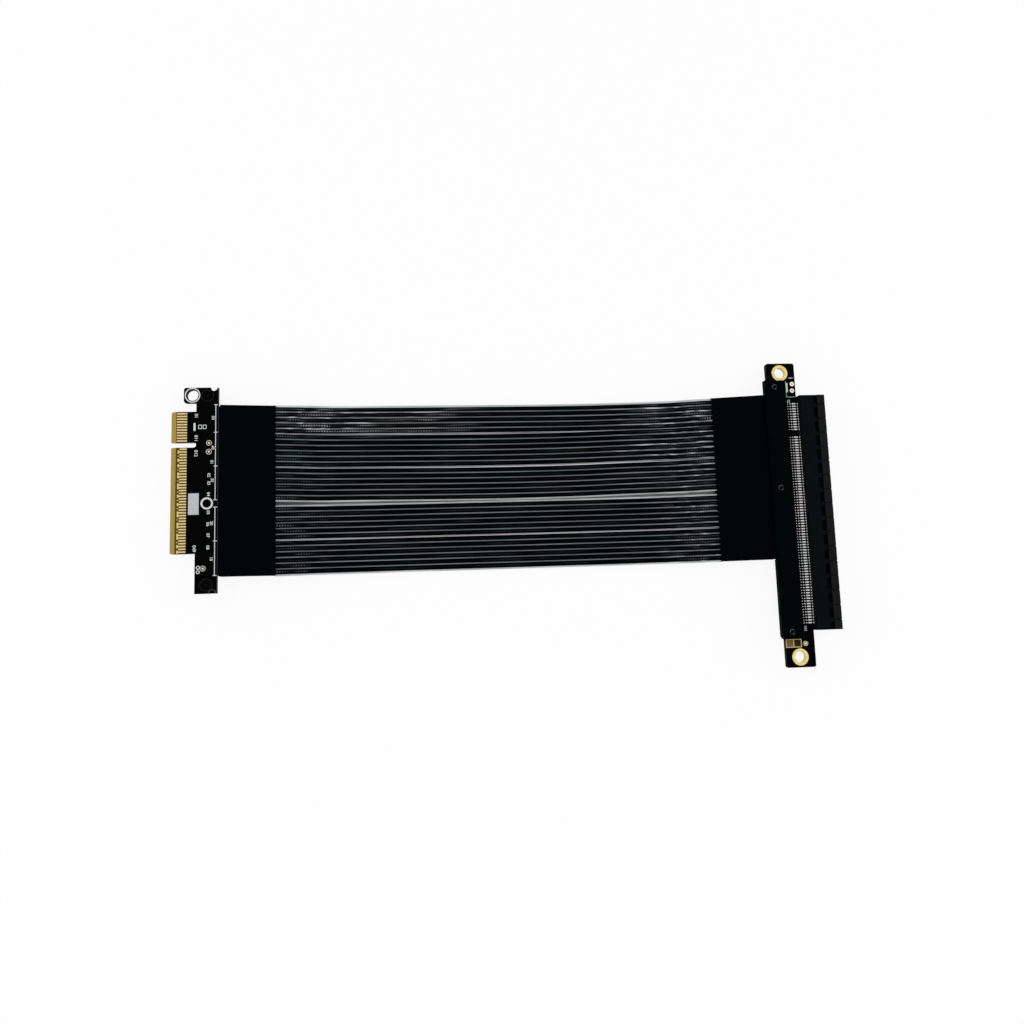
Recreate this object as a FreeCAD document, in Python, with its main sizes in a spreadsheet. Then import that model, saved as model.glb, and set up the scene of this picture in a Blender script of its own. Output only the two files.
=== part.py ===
import FreeCAD, Part
import os
from types import SimpleNamespace

import Sketcher

# Ribbon riser cable: a card edge board, two layers of flat ribbons and a board with a card slot.
# It lies flat. +X runs from the card edge to the slot's mouth, +Y towards contact one, +Z up.
# The origin is under the middle of the whole cable, on the surface that it lies on.

# Driving sizes in millimetres
SIZES = {
    # Both boards
    "board_thickness": 1.6,
    "contact_pitch": 1.0,
    "key_to_contact": 1.5,
    # Card edge board, measured from the tip of its tab and from the middle of its key notch
    "tab_reach": 8.8,
    "tab_margin": 0.7,
    "key_width": 1.9,
    "key_depth": 8.8,
    "bevel_length": 1.6,
    "bevel_depth": 0.5,
    "edge_board_width": 7.65,
    "edge_board_tail": 5.9,
    "edge_board_drop": 0.3,
    "tongue_length": 5.3,
    "ear_reach": 4.45,
    "ear_height": 5.6,
    "ear_gap": 3.3,
    "ear_hole_diameter": 4.1,
    "ear_hole_inset": 1.4,
    "ear_hole_drop": 2.8,
    "ear_corner_radius": 0.8,
    "tab_corner": 0.5,
    "stake_inset": 3.5,
    "stake_drop": 3.1,
    "eyelet_inset": 3.5,
    "eyelet_below_key": 21.4,
    "edge_notch_radius": 1.25,
    "edge_notch_inset": 1.5,
    # Gold fingers on the tab
    "finger_gap": 1.35,
    "finger_length": 2.95,
    "finger_width": 0.55,
    "finger_thickness": 0.05,
    # Eyelet, and the cover under the card edge board with its two staked pegs
    "eyelet_diameter": 4.75,
    "eyelet_thickness": 0.15,
    "eyelet_bore_diameter": 2.7,
    "stake_head_diameter": 4.4,
    "stake_head_height": 0.5,
    "stake_peg_diameter": 2.6,
    "stake_clearance": 0.1,
    "edge_cover_side_inset": 1.2,
    "edge_cover_top_inset": 1.6,
    "edge_cover_bottom_inset": 0.1,
    "edge_cover_chamfer": 0.5,
    # Ribbons
    "cable_span": 203.15,
    "lobe_pitch": 2.04,
    "lobe_gap": 0.14,
    "lobe_height": 1.0,
    "lobe_crown": 0.9,
    "web_thickness": 0.4,
    "ribbon_above_key": 13.8,
    "ribbon_gap": 0.16,
    "middle_gap": 1.7,
    "ribbon_setback": 1.3,
    "ribbon_landing": 4.5,
    "ribbon_seat_gap": 0.05,
    # Tape round the ribbons at both ends
    "edge_tape_length": 19.6,
    "slot_tape_length": 20.7,
    "edge_tape_setback": 1.05,
    "tape_thickness": 0.2,
    "tape_clearance": 0.1,
    "tape_corner": 0.4,
    # Slot board
    "slot_board_width": 11.1,
    "slot_board_top_margin": 13.2,
    "slot_board_bottom_margin": 13.5,
    "slot_board_corner_radius": 0.8,
    "mount_hole_diameter": 4.2,
    "mount_hole_inset": 5.3,
    "mount_hole_from_end": 3.8,
    # Covers over the ribbon ends on the slot board
    "cover_overhang": 1.8,
    "lower_cover_inset": 0.2,
    "cover_corner": 1.0,
    "cover_to_contacts": 2.8,
    "cover_height": 2.6,
    "cover_top_margin": 7.2,
    "cover_bottom_margin": 10.5,
    "cover_chamfer": 0.4,
    "cover_clearance": 0.25,
    # Slot housing and its contacts
    "housing_standoff": 0.6,
    "housing_depth": 9.15,
    "housing_thickness": 7.6,
    "housing_end_room": 2.7,
    "standoff_length": 2.0,
    "band_width": 2.9,
    "band_rise": 0.3,
    "cell_pitch": 5.4,
    "cell_gap": 0.35,
    "recess_width": 1.6,
    "recess_length": 3.6,
    "recess_from_gap": 1.15,
    "recess_end_wall": 0.6,
    "recess_floor": 0.3,
    "slit_width": 1.8,
    "slit_lead_in": 0.5,
    "lip_depth": 1.2,
    "cavity_height": 4.0,
    "rear_wall": 1.0,
    "contact_end_room": 0.6,
    "slot_contact_width": 0.55,
    "slot_contact_thickness": 0.25,
    "slot_contact_landing": 1.9,
    "slot_contact_clearance": 0.1,
    "slot_contact_bend_room": 1.0,
    "slot_contact_nose": 1.6,
    "slot_contact_tip_room": 0.8,
    "slot_contact_dip": 0.25,
    "slot_contact_flare": 0.35,
}

CONTACT_COUNT_ABOVE_KEY = 11
EDGE_CONTACT_COUNT_BELOW_KEY = 38
SLOT_CONTACT_COUNT_BELOW_KEY = 71
RIBBON_LOBES = (5, 6, 6, 6, 6)
RIBBON_BEFORE_MIDDLE_GAP = 3
WHOLE_CELLS = 15
# How far a cutting outline runs past the face that it opens
OVERCUT = 1.0
# Points closer than this are taken as one
TOUCH = 1e-6


class Size:
    """A number together with the sheet expression that gives it."""

    def __init__(self, value, text):
        self.value = value
        self.text = text

    def __add__(self, other):
        other = as_size(other)
        return Size(self.value + other.value, f"({self.text} + {other.text})")

    def __sub__(self, other):
        other = as_size(other)
        return Size(self.value - other.value, f"({self.text} - {other.text})")

    def __mul__(self, factor):
        return Size(self.value * factor, f"({self.text} * {factor})")

    def __truediv__(self, divisor):
        return Size(self.value / divisor, f"({self.text} / {divisor})")

    def __neg__(self):
        return self * -1


def as_size(number):
    """Return a Size for a Size or a plain number."""
    return number if isinstance(number, Size) else Size(number, str(number))


def total(sizes):
    """Add up any number of sizes."""
    result = as_size(0)
    for size in sizes:
        result = result + size
    return result


doc = FreeCAD.newDocument("riser_cable")
sheet = doc.addObject("Spreadsheet::Sheet", "Sizes")
for row, (alias, number) in enumerate(SIZES.items(), start=1):
    sheet.set(f"A{row}", alias)
    sheet.set(f"B{row}", str(number))
    sheet.setAlias(f"B{row}", alias)
doc.recompute()
s = SimpleNamespace(**{alias: Size(sheet.get(alias), f"Sizes.{alias}") for alias in SIZES})

# Places along the cable
overall_length = total([s.tab_reach, s.edge_board_width, s.cable_span, s.cover_overhang,
                        s.slot_board_width, s.housing_standoff, s.housing_depth])
tip_x = -overall_length / 2
edge_board_right = tip_x + s.tab_reach + s.edge_board_width
cover_left = edge_board_right + s.cable_span
slot_board_left = cover_left + s.cover_overhang
slot_board_right = slot_board_left + s.slot_board_width
housing_rear = slot_board_right + s.housing_standoff

# Reach of each contact row, from the key
row_above_key = s.key_to_contact + s.contact_pitch * (CONTACT_COUNT_ABOVE_KEY - 1)
edge_row_below_key = s.key_to_contact + s.contact_pitch * (EDGE_CONTACT_COUNT_BELOW_KEY - 1)
slot_row_below_key = s.key_to_contact + s.contact_pitch * (SLOT_CONTACT_COUNT_BELOW_KEY - 1)

# Ends of the tab, the housing and the slot board, from the key
tab_above_key = row_above_key + s.tab_margin
tab_below_key = edge_row_below_key + s.tab_margin
housing_above_key = row_above_key + s.housing_end_room
housing_below_key = slot_row_below_key + s.housing_end_room
slot_board_above_key = housing_above_key + s.slot_board_top_margin
slot_board_below_key = housing_below_key + s.slot_board_bottom_margin

# Places across the cable and up from the surface that it lies on
key_y = (slot_board_below_key - slot_board_above_key) / 2
edge_key_y = key_y - s.edge_board_drop
middle_z = s.housing_thickness / 2
board_bottom = middle_z - s.board_thickness / 2
board_top = middle_z + s.board_thickness / 2
ribbon_lift = s.board_thickness / 2 + s.ribbon_seat_gap + s.lobe_height / 2

# Ribbon edges across the cable, from the key
ribbon_tops = []
ribbon_widths = []
next_top = s.ribbon_above_key
for number, lobes in enumerate(RIBBON_LOBES, start=1):
    ribbon_tops.append(next_top)
    ribbon_widths.append(s.lobe_pitch * lobes)
    gap = s.middle_gap if number == RIBBON_BEFORE_MIDDLE_GAP else s.ribbon_gap
    next_top = next_top - ribbon_widths[-1] - gap
ribbon_bottom = ribbon_tops[-1] - ribbon_widths[-1]

# Ends of the card edge board, from the key
edge_board_above_key = tab_above_key + s.ear_gap + s.ear_height
edge_board_below_key = s.edge_board_tail - ribbon_bottom
tongue_top = s.ribbon_above_key + s.edge_board_drop
tongue_bottom = ribbon_bottom + s.edge_board_drop

nodes = []


def bind(thing, path, size):
    """Bind one property of a document object to the sheet."""
    thing.setExpression(path, as_size(size).text)


def place(thing, x, y, z):
    """Place an object by three sizes."""
    for axis, size in zip("xyz", (x, y, z)):
        bind(thing, f"Placement.Base.{axis}", size)


def new_body(label, x, y, z):
    """Start a body that becomes one node."""
    body = doc.addObject("PartDesign::Body", label)
    body.Label = label
    place(body, x, y, z)
    nodes.append(body)
    return body


def origin_feature(body, role):
    """Find one of a body's own origin planes or axes."""
    return next(feature for feature in body.Origin.OriginFeatures if feature.Role == role)


def new_sketch(body, name, role, offset=0):
    """Add a sketch on an origin plane of the body, moved along the plane's normal."""
    sketch = body.newObject("Sketcher::SketchObject", f"{body.Label}_{name}")
    sketch.AttachmentSupport = (origin_feature(body, role), [""])
    sketch.MapMode = "FlatFace"
    bind(sketch, "AttachmentOffset.Base.z", offset)
    return sketch


def pin_point(sketch, geometry, point, x, y):
    """Hold one point of a sketch at two sizes from the sketch's origin."""
    for kind, size in (("DistanceX", as_size(x)), ("DistanceY", as_size(y))):
        index = sketch.addConstraint(Sketcher.Constraint(kind, -1, 1, geometry, point, size.value))
        sketch.setExpression(f"Constraints[{index}]", size.text)


def draw_outline(sketch, corners):
    """Draw a closed outline of straight lines through the given corners."""
    points = [FreeCAD.Vector(as_size(x).value, as_size(y).value, 0) for x, y in corners]
    first = sketch.GeometryCount
    for start, end in zip(points, points[1:] + points[:1]):
        sketch.addGeometry(Part.LineSegment(start, end))
    last = sketch.GeometryCount - 1
    for index, (x, y) in enumerate(corners, start=first):
        after = first if index == last else index + 1
        sketch.addConstraint(Sketcher.Constraint("Coincident", index, 2, after, 1))
        pin_point(sketch, index, 1, x, y)


def draw_rectangle(sketch, left, right, low, high):
    """Draw a rectangle between two sizes each way."""
    draw_outline(sketch, [(left, low), (right, low), (right, high), (left, high)])


def draw_circle(sketch, x, y, diameter):
    """Draw a circle at two sizes from the sketch's origin."""
    centre = FreeCAD.Vector(as_size(x).value, as_size(y).value, 0)
    circle = sketch.addGeometry(Part.Circle(centre, FreeCAD.Vector(0, 0, 1), diameter.value / 2))
    pin_point(sketch, circle, 3, x, y)
    index = sketch.addConstraint(Sketcher.Constraint("Diameter", circle, diameter.value))
    sketch.setExpression(f"Constraints[{index}]", diameter.text)


def draw_lobe(sketch, middle, width, height, crown):
    """Draw the section of one ribbon lobe: a flat crown above and below, and sides that meet at a tip."""
    draw_outline(sketch, [
        (middle - width / 2, 0), (middle - crown / 2, -height / 2), (middle + crown / 2, -height / 2),
        (middle + width / 2, 0), (middle + crown / 2, height / 2), (middle - crown / 2, height / 2),
    ])


def pad(body, sketch, length):
    """Raise a sketch along its normal."""
    feature = body.newObject("PartDesign::Pad", f"{sketch.Label}_pad")
    feature.Profile = sketch
    bind(feature, "Length", length)
    sketch.Visibility = False
    doc.recompute()
    return feature


def pocket(body, sketch, length, along_normal=False):
    """Cut a sketch into a body and make sure that something was cut."""
    before = body.Shape.Volume
    feature = body.newObject("PartDesign::Pocket", f"{sketch.Label}_pocket")
    feature.Profile = sketch
    feature.Reversed = along_normal
    bind(feature, "Length", length)
    doc.recompute()
    if body.Shape.Volume >= before:
        raise RuntimeError(f"{feature.Label} cut nothing")
    return feature


def repeat_down(body, feature, pitch, count):
    """Repeat a feature towards -Y."""
    pattern = body.newObject("PartDesign::LinearPattern", f"{feature.Label}_row")
    pattern.Originals = [feature]
    pattern.Direction = (origin_feature(body, "Y_Axis"), [""])
    pattern.Reversed = True
    bind(pattern, "Length", pitch * (count - 1))
    pattern.Occurrences = count
    body.Tip = pattern
    doc.recompute()


def edges_through(body, axis, corners):
    """Name the edges of a body along one axis that pass through corners in its other two axes."""
    across = [index for index in range(3) if index != "xyz".index(axis)]
    wanted = [(as_size(first).value, as_size(second).value) for first, second in corners]
    names = []
    for index, edge in enumerate(body.Tip.Shape.Edges, start=1):
        ends = [vertex.Point for vertex in edge.Vertexes]
        if len(ends) < 2:
            continue
        for corner in wanted:
            misses = [abs(end[side] - place) for end in ends for side, place in zip(across, corner)]
            if max(misses) < TOUCH:
                names.append(f"Edge{index}")
    return names


def dress_edges(body, kind, axis, corners, size):
    """Fillet or chamfer the edges of a body that run along one axis through the given corners."""
    base = body.Tip
    names = edges_through(body, axis, corners)
    if len(names) != len(corners):
        raise RuntimeError(f"{body.Label} has {len(names)} such edges, not {len(corners)}")
    feature = body.newObject(f"PartDesign::{kind}", f"{body.Label}_{kind.lower()}")
    feature.Base = (base, names)
    bind(feature, "Radius" if kind == "Fillet" else "Size", size)
    doc.recompute()


def chamfer_rim(body, height, size):
    """Chamfer the rim of the level face of a body at one height."""
    base = body.Tip
    level = [face for face in base.Shape.Faces if abs(face.CenterOfMass.z - height.value) < TOUCH]
    rim = max(level, key=lambda face: face.Area).OuterWire.Edges
    names = [f"Edge{index}" for index, edge in enumerate(base.Shape.Edges, start=1)
             if any(edge.isSame(other) for other in rim)]
    feature = body.newObject("PartDesign::Chamfer", f"{body.Label}_rim")
    feature.Base = (base, names)
    bind(feature, "Size", size)
    doc.recompute()


def contact_places(below_key):
    """Places of one row of contacts from the key, contact one first."""
    above = [s.key_to_contact + s.contact_pitch * step for step in reversed(range(CONTACT_COUNT_ABOVE_KEY))]
    below = [-s.key_to_contact - s.contact_pitch * step for step in range(below_key)]
    return above + below


def contact_row(label, profile, width, row_y, below_key):
    """Stand one flat contact, given as corners in X and Z, at every place of a row."""
    corners = [FreeCAD.Vector(as_size(x).value, 0, as_size(z).value) for x, z in profile]
    face = Part.Face(Part.makePolygon(corners + corners[:1]))
    blade = face.extrude(FreeCAD.Vector(0, width.value, 0))
    row = []
    for place_from_key in contact_places(below_key):
        copy = blade.copy()
        copy.translate(FreeCAD.Vector(0, (row_y + place_from_key - width / 2).value, 0))
        row.append(copy)
    node = doc.addObject("Part::Feature", label)
    node.Label = label
    node.Shape = Part.makeCompound(row)
    node.Placement = FreeCAD.Placement()
    nodes.append(node)


def strip(points, thickness):
    """Corners of a strip of even upright thickness along points in X and Z."""
    upper = [(x, z + thickness / 2) for x, z in points]
    lower = [(x, z - thickness / 2) for x, z in points]
    return upper + lower[::-1]


# Card edge board: tab with key notch and bevel, body strip, ear and the tongue under the tape
def build_edge_board():
    board = new_body("edge_board", tip_x, edge_key_y, board_bottom)
    ear_left = s.tab_reach - s.ear_reach
    ear_bottom = edge_board_above_key - s.ear_height
    right = s.tab_reach + s.edge_board_width
    outline = new_sketch(board, "outline", "XY_Plane")
    draw_outline(outline, [
        (0, -tab_below_key), (s.tab_reach, -tab_below_key),
        (s.tab_reach, -edge_board_below_key), (right, -edge_board_below_key),
        (right, tongue_bottom), (right + s.tongue_length, tongue_bottom),
        (right + s.tongue_length, tongue_top), (right, tongue_top),
        (right, edge_board_above_key), (ear_left, edge_board_above_key),
        (ear_left, ear_bottom), (s.tab_reach, ear_bottom),
        (s.tab_reach, tab_above_key), (0, tab_above_key),
    ])
    pad(board, outline, s.board_thickness)
    dress_edges(board, "Fillet", "z", [(ear_left, edge_board_above_key), (ear_left, ear_bottom)],
                s.ear_corner_radius)
    dress_edges(board, "Chamfer", "z", [(0, tab_above_key), (0, -tab_below_key)], s.tab_corner)
    key = new_sketch(board, "key", "XY_Plane")
    key_end = s.key_depth - s.key_width / 2
    draw_rectangle(key, -OVERCUT, key_end, -s.key_width / 2, s.key_width / 2)
    pocket(board, key, s.board_thickness, along_normal=True)
    holes = new_sketch(board, "holes", "XY_Plane")
    draw_circle(holes, s.tab_reach - s.ear_hole_inset, edge_board_above_key - s.ear_hole_drop,
                s.ear_hole_diameter)
    for y in stake_places():
        draw_circle(holes, right - s.stake_inset, y, s.stake_peg_diameter + s.stake_clearance * 2)
    draw_circle(holes, right - s.eyelet_inset, -s.eyelet_below_key, s.eyelet_bore_diameter)
    draw_circle(holes, key_end, 0, s.key_width)
    for y in (edge_board_above_key, -edge_board_below_key):
        draw_circle(holes, right - s.edge_notch_inset, y, s.edge_notch_radius * 2)
    pocket(board, holes, s.board_thickness, along_normal=True)
    bevel = new_sketch(board, "bevel", "XZ_Plane", -tab_above_key - OVERCUT)
    for face_z, inner_z, outer_z in ((0, s.bevel_depth, -OVERCUT),
                                     (s.board_thickness, s.board_thickness - s.bevel_depth,
                                      s.board_thickness + OVERCUT)):
        draw_outline(bevel, [(s.bevel_length, face_z), (0, inner_z), (-OVERCUT, inner_z),
                             (-OVERCUT, outer_z), (s.bevel_length, outer_z)])
    pocket(board, bevel, tab_above_key + tab_below_key + OVERCUT * 2, along_normal=True)


def stake_places():
    """Places of the cover's two pegs from the key."""
    return [edge_board_above_key - s.stake_drop, s.stake_drop - edge_board_below_key]


def build_edge_contacts():
    start = tip_x + s.bevel_length + s.finger_gap
    end = start + s.finger_length
    for label, low, high in (("edge_contacts_top", board_top, board_top + s.finger_thickness),
                             ("edge_contacts_bottom", board_bottom - s.finger_thickness, board_bottom)):
        contact_row(label, [(start, low), (end, low), (end, high), (start, high)], s.finger_width,
                    edge_key_y, EDGE_CONTACT_COUNT_BELOW_KEY)


# Moulded cover under the card edge board: its pegs pass through the board and are staked over it
def build_edge_cover():
    cover = new_body("edge_cover", tip_x, edge_key_y, 0)
    right = s.tab_reach + s.edge_board_width
    outline = new_sketch(cover, "outline", "XY_Plane")
    draw_rectangle(outline, s.tab_reach + s.edge_cover_side_inset, right - s.edge_cover_side_inset,
                   s.edge_cover_bottom_inset - edge_board_below_key,
                   edge_board_above_key - s.edge_cover_top_inset)
    pad(cover, outline, board_bottom)
    chamfer_rim(cover, as_size(0), s.edge_cover_chamfer)
    for name, height, diameter, length in (
            ("pegs", board_bottom, s.stake_peg_diameter, s.board_thickness),
            ("heads", board_top, s.stake_head_diameter, s.stake_head_height)):
        sketch = new_sketch(cover, name, "XY_Plane", height)
        for y in stake_places():
            draw_circle(sketch, right - s.stake_inset, y, diameter)
        pad(cover, sketch, length)


# Tinned eyelet ring on the card edge board
def build_eyelet():
    eyelet = new_body("edge_eyelet", edge_board_right - s.eyelet_inset, edge_key_y - s.eyelet_below_key,
                      board_top)
    ring = new_sketch(eyelet, "ring", "XY_Plane")
    draw_circle(ring, 0, 0, s.eyelet_diameter)
    draw_circle(ring, 0, 0, s.eyelet_bore_diameter)
    pad(eyelet, ring, s.eyelet_thickness)


# Flat ribbons: a thin web with raised lobes, one for each pair of wires
def build_ribbon(label, number, height):
    start = edge_board_right + s.ribbon_setback
    length = slot_board_left + s.ribbon_landing - start
    ribbon = new_body(label, start, key_y + ribbon_tops[number], height)
    web = new_sketch(ribbon, "web", "YZ_Plane")
    draw_rectangle(web, -ribbon_widths[number], 0, -s.web_thickness / 2, s.web_thickness / 2)
    pad(ribbon, web, length)
    lobe = new_sketch(ribbon, "lobe", "YZ_Plane")
    draw_lobe(lobe, -s.lobe_pitch / 2, s.lobe_pitch - s.lobe_gap, s.lobe_height, s.lobe_crown)
    ridge = pad(ribbon, lobe, length)
    repeat_down(ribbon, ridge, s.lobe_pitch, RIBBON_LOBES[number])


# Tape wrapped round both ribbon layers
def build_tape(label, start, length):
    tape = new_body(label, start, key_y, middle_z)
    inner_half = ribbon_lift + s.lobe_height / 2 + s.tape_clearance
    inner = (ribbon_bottom - s.tape_clearance, s.ribbon_above_key + s.tape_clearance, inner_half)
    outer = (inner[0] - s.tape_thickness, inner[1] + s.tape_thickness, inner_half + s.tape_thickness)
    section = new_sketch(tape, "section", "YZ_Plane")
    for low, high, half in (outer, inner):
        draw_rectangle(section, low, high, -half, half)
    pad(tape, section, length)
    for low, high, half in (outer, inner):
        dress_edges(tape, "Chamfer", "x", [(low, -half), (low, half), (high, -half), (high, half)],
                    s.tape_corner)


# Board that carries the slot
def build_slot_board():
    board = new_body("slot_board", slot_board_left, key_y, board_bottom)
    above, below = slot_board_above_key, -slot_board_below_key
    outline = new_sketch(board, "outline", "XY_Plane")
    draw_rectangle(outline, 0, s.slot_board_width, below, above)
    pad(board, outline, s.board_thickness)
    dress_edges(board, "Fillet", "z", [(0, above), (0, below), (s.slot_board_width, above),
                                       (s.slot_board_width, below)], s.slot_board_corner_radius)
    holes = new_sketch(board, "holes", "XY_Plane")
    for y in (above - s.mount_hole_from_end, below + s.mount_hole_from_end):
        draw_circle(holes, s.mount_hole_inset, y, s.mount_hole_diameter)
    pocket(board, holes, s.board_thickness, along_normal=True)


# Cover over the ribbon ends, modelled upright and turned over for the lower side
def build_slot_cover(label, upside_down):
    left = slot_board_left + s.lower_cover_inset if upside_down else cover_left
    right = slot_board_right - s.slot_contact_landing - s.cover_to_contacts
    cavity_end = slot_board_left + s.ribbon_landing + s.cover_clearance
    cover = new_body(label, left, key_y, board_bottom if upside_down else board_top)
    low = s.cover_bottom_margin - slot_board_below_key
    high = slot_board_above_key - s.cover_top_margin
    ribbon_low, ribbon_high = ribbon_bottom, s.ribbon_above_key
    if upside_down:
        cover.Placement.Rotation = FreeCAD.Rotation(FreeCAD.Vector(1, 0, 0), 180)
        low, high = -high, -low
        ribbon_low, ribbon_high = -ribbon_high, -ribbon_low
    outline = new_sketch(cover, "outline", "XY_Plane")
    draw_rectangle(outline, 0, right - left, low, high)
    pad(cover, outline, s.cover_height)
    if not upside_down:
        dress_edges(cover, "Chamfer", "z", [(0, low)], s.cover_corner)
    chamfer_rim(cover, s.cover_height, s.cover_chamfer)
    cavity = new_sketch(cover, "cavity", "XY_Plane")
    draw_rectangle(cavity, -OVERCUT, cavity_end - left, ribbon_low - s.cover_clearance,
                   ribbon_high + s.cover_clearance)
    pocket(cover, cavity, s.ribbon_seat_gap + s.lobe_height + s.cover_clearance, along_normal=True)


# Slot housing: two card cavities split by the key, mouth lips, raised cells and recesses behind them
def build_slot_housing():
    housing = new_body("slot_housing", housing_rear, key_y, middle_z)
    depth, half = s.housing_depth, s.housing_thickness / 2
    band_start = depth - s.band_width
    low_half = half - s.band_rise
    top, bottom = housing_above_key, -housing_below_key
    section = new_sketch(housing, "section", "XZ_Plane", -top)
    draw_outline(section, [
        (0, -low_half), (band_start, -low_half), (band_start, -half), (depth, -half),
        (depth, half), (band_start, half), (band_start, low_half), (0, low_half),
    ])
    pad(housing, section, top - bottom)
    posts = new_sketch(housing, "posts", "YZ_Plane", -s.housing_standoff)
    for low, high in ((top - s.standoff_length, top), (bottom, bottom + s.standoff_length)):
        draw_rectangle(posts, low, high, -low_half, low_half)
    pad(housing, posts, s.housing_standoff)
    first = row_above_key + s.contact_end_room
    last = slot_row_below_key + s.contact_end_room
    key_side = s.key_to_contact - s.contact_end_room
    for name, start, end in (("upper_cavity", first, key_side), ("lower_cavity", -key_side, -last)):
        cavity = new_sketch(housing, name, "XZ_Plane", -start)
        draw_outline(cavity, cavity_outline())
        pocket(housing, cavity, start - end, along_normal=True)
    end_cell = (top - bottom - s.cell_pitch * WHOLE_CELLS) / 2
    first_gap, last_gap = top - end_cell, bottom + end_cell
    gap = new_sketch(housing, "cell_gap", "YZ_Plane", depth)
    for low, high in ((low_half, half + OVERCUT), (-half - OVERCUT, -low_half)):
        draw_rectangle(gap, first_gap - s.cell_gap / 2, first_gap + s.cell_gap / 2, low, high)
    repeat_down(housing, pocket(housing, gap, s.band_width), s.cell_pitch, WHOLE_CELLS + 1)
    floor = s.cavity_height / 2 + s.recess_floor
    sides = ((floor, low_half + OVERCUT), (-low_half - OVERCUT, -floor))
    recess_top = first_gap - s.recess_from_gap
    recess_to_gap = s.cell_pitch - s.recess_from_gap - s.recess_length
    ends = new_sketch(housing, "end_recesses", "YZ_Plane", band_start)
    recess = new_sketch(housing, "recess", "YZ_Plane", band_start)
    for low, high in sides:
        draw_rectangle(recess, recess_top - s.recess_length, recess_top, low, high)
        draw_rectangle(ends, first_gap + recess_to_gap, top - s.recess_end_wall, low, high)
        draw_rectangle(ends, bottom + s.recess_end_wall, last_gap - s.recess_from_gap, low, high)
    repeat_down(housing, pocket(housing, recess, s.recess_width), s.cell_pitch, WHOLE_CELLS)
    pocket(housing, ends, s.recess_width)


def cavity_outline():
    """Section of the card cavity: lead-in, lips, spring room and a rear gap for each contact row."""
    mouth = s.housing_depth + OVERCUT
    lip_start = s.housing_depth - s.lip_depth
    lead_start = s.housing_depth - s.slit_lead_in
    slit = s.slit_width / 2
    room = s.cavity_height / 2
    gap_low = s.board_thickness / 2 - s.slot_contact_clearance
    gap_high = s.board_thickness / 2 + s.slot_contact_thickness + s.slot_contact_clearance
    upper = [
        (mouth, slit + s.slit_lead_in), (s.housing_depth, slit + s.slit_lead_in), (lead_start, slit),
        (lip_start, slit), (lip_start, room), (s.rear_wall, room), (s.rear_wall, gap_high),
        (-OVERCUT, gap_high), (-OVERCUT, gap_low), (s.rear_wall, gap_low),
    ]
    return upper + [(x, -z) for x, z in reversed(upper)]


# Slot contacts: a tail soldered to the board, a bend at the rear wall and a sprung end in the cavity
def build_slot_contacts():
    seat = (s.board_thickness + s.slot_contact_thickness) / 2
    tip = housing_rear + s.housing_depth - s.lip_depth - s.slot_contact_tip_room
    for label, side in (("slot_contacts_top", 1), ("slot_contacts_bottom", -1)):
        line = [
            (slot_board_right - s.slot_contact_landing, middle_z + seat * side),
            (housing_rear + s.rear_wall + s.slot_contact_bend_room, middle_z + seat * side),
            (tip - s.slot_contact_nose, middle_z + (seat - s.slot_contact_dip) * side),
            (tip, middle_z + (seat + s.slot_contact_flare) * side),
        ]
        contact_row(label, strip(line, s.slot_contact_thickness), s.slot_contact_width,
                    key_y, SLOT_CONTACT_COUNT_BELOW_KEY)


def check_and_write():
    """Stop on anything that failed, then write one STEP file for each node."""
    doc.recompute()
    for thing in doc.Objects:
        if any(mark in thing.State for mark in ("Invalid", "Error")):
            raise RuntimeError(f"{thing.Label} failed: {thing.State}")
    os.makedirs("parts", exist_ok=True)
    for node in nodes:
        if node.Shape.isNull() or not node.Shape.isValid():
            raise RuntimeError(f"{node.Label} has no valid shape")
        node.Shape.exportStep(os.path.join("parts", f"{node.Label}.step"))
        print(f"{node.Label}: {len(node.Shape.Solids)} solids, {node.Shape.Volume:.1f} mm3")


build_edge_board()
build_edge_contacts()
build_edge_cover()
build_eyelet()
for layer, ribbon_height in (("top", middle_z + ribbon_lift), ("bottom", middle_z - ribbon_lift)):
    for ribbon_number in range(len(RIBBON_LOBES)):
        build_ribbon(f"ribbon_{layer}_{ribbon_number + 1}", ribbon_number, ribbon_height)
build_tape("edge_tape", edge_board_right + s.edge_tape_setback, s.edge_tape_length)
build_tape("slot_tape", cover_left - s.tape_clearance - s.slot_tape_length, s.slot_tape_length)
build_slot_board()
build_slot_cover("slot_cover_top", False)
build_slot_cover("slot_cover_bottom", True)
build_slot_housing()
build_slot_contacts()
check_and_write()
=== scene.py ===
"""Dress the riser cable: lay its ribbons, wind its tapes, print its boards and finish each surface."""

import logging
import math
from dataclasses import dataclass, field, replace
from enum import Enum

import bmesh
import bpy
from mathutils import Matrix, Quaternion, Vector


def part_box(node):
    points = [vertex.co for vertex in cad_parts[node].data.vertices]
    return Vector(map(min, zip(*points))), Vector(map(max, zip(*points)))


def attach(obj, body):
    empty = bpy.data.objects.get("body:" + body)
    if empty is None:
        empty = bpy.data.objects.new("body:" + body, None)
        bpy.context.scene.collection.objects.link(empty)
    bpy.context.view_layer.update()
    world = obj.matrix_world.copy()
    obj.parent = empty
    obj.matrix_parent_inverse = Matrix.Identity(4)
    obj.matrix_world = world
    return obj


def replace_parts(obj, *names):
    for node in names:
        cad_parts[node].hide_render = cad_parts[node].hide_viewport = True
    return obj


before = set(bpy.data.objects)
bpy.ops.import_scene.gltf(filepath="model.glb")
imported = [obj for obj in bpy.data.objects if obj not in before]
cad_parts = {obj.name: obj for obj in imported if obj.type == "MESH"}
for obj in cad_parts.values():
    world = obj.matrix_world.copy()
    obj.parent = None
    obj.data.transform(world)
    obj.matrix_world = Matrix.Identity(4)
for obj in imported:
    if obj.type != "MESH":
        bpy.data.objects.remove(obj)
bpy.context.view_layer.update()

LOG = logging.getLogger("riser_cable")
MM = 0.001
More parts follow.
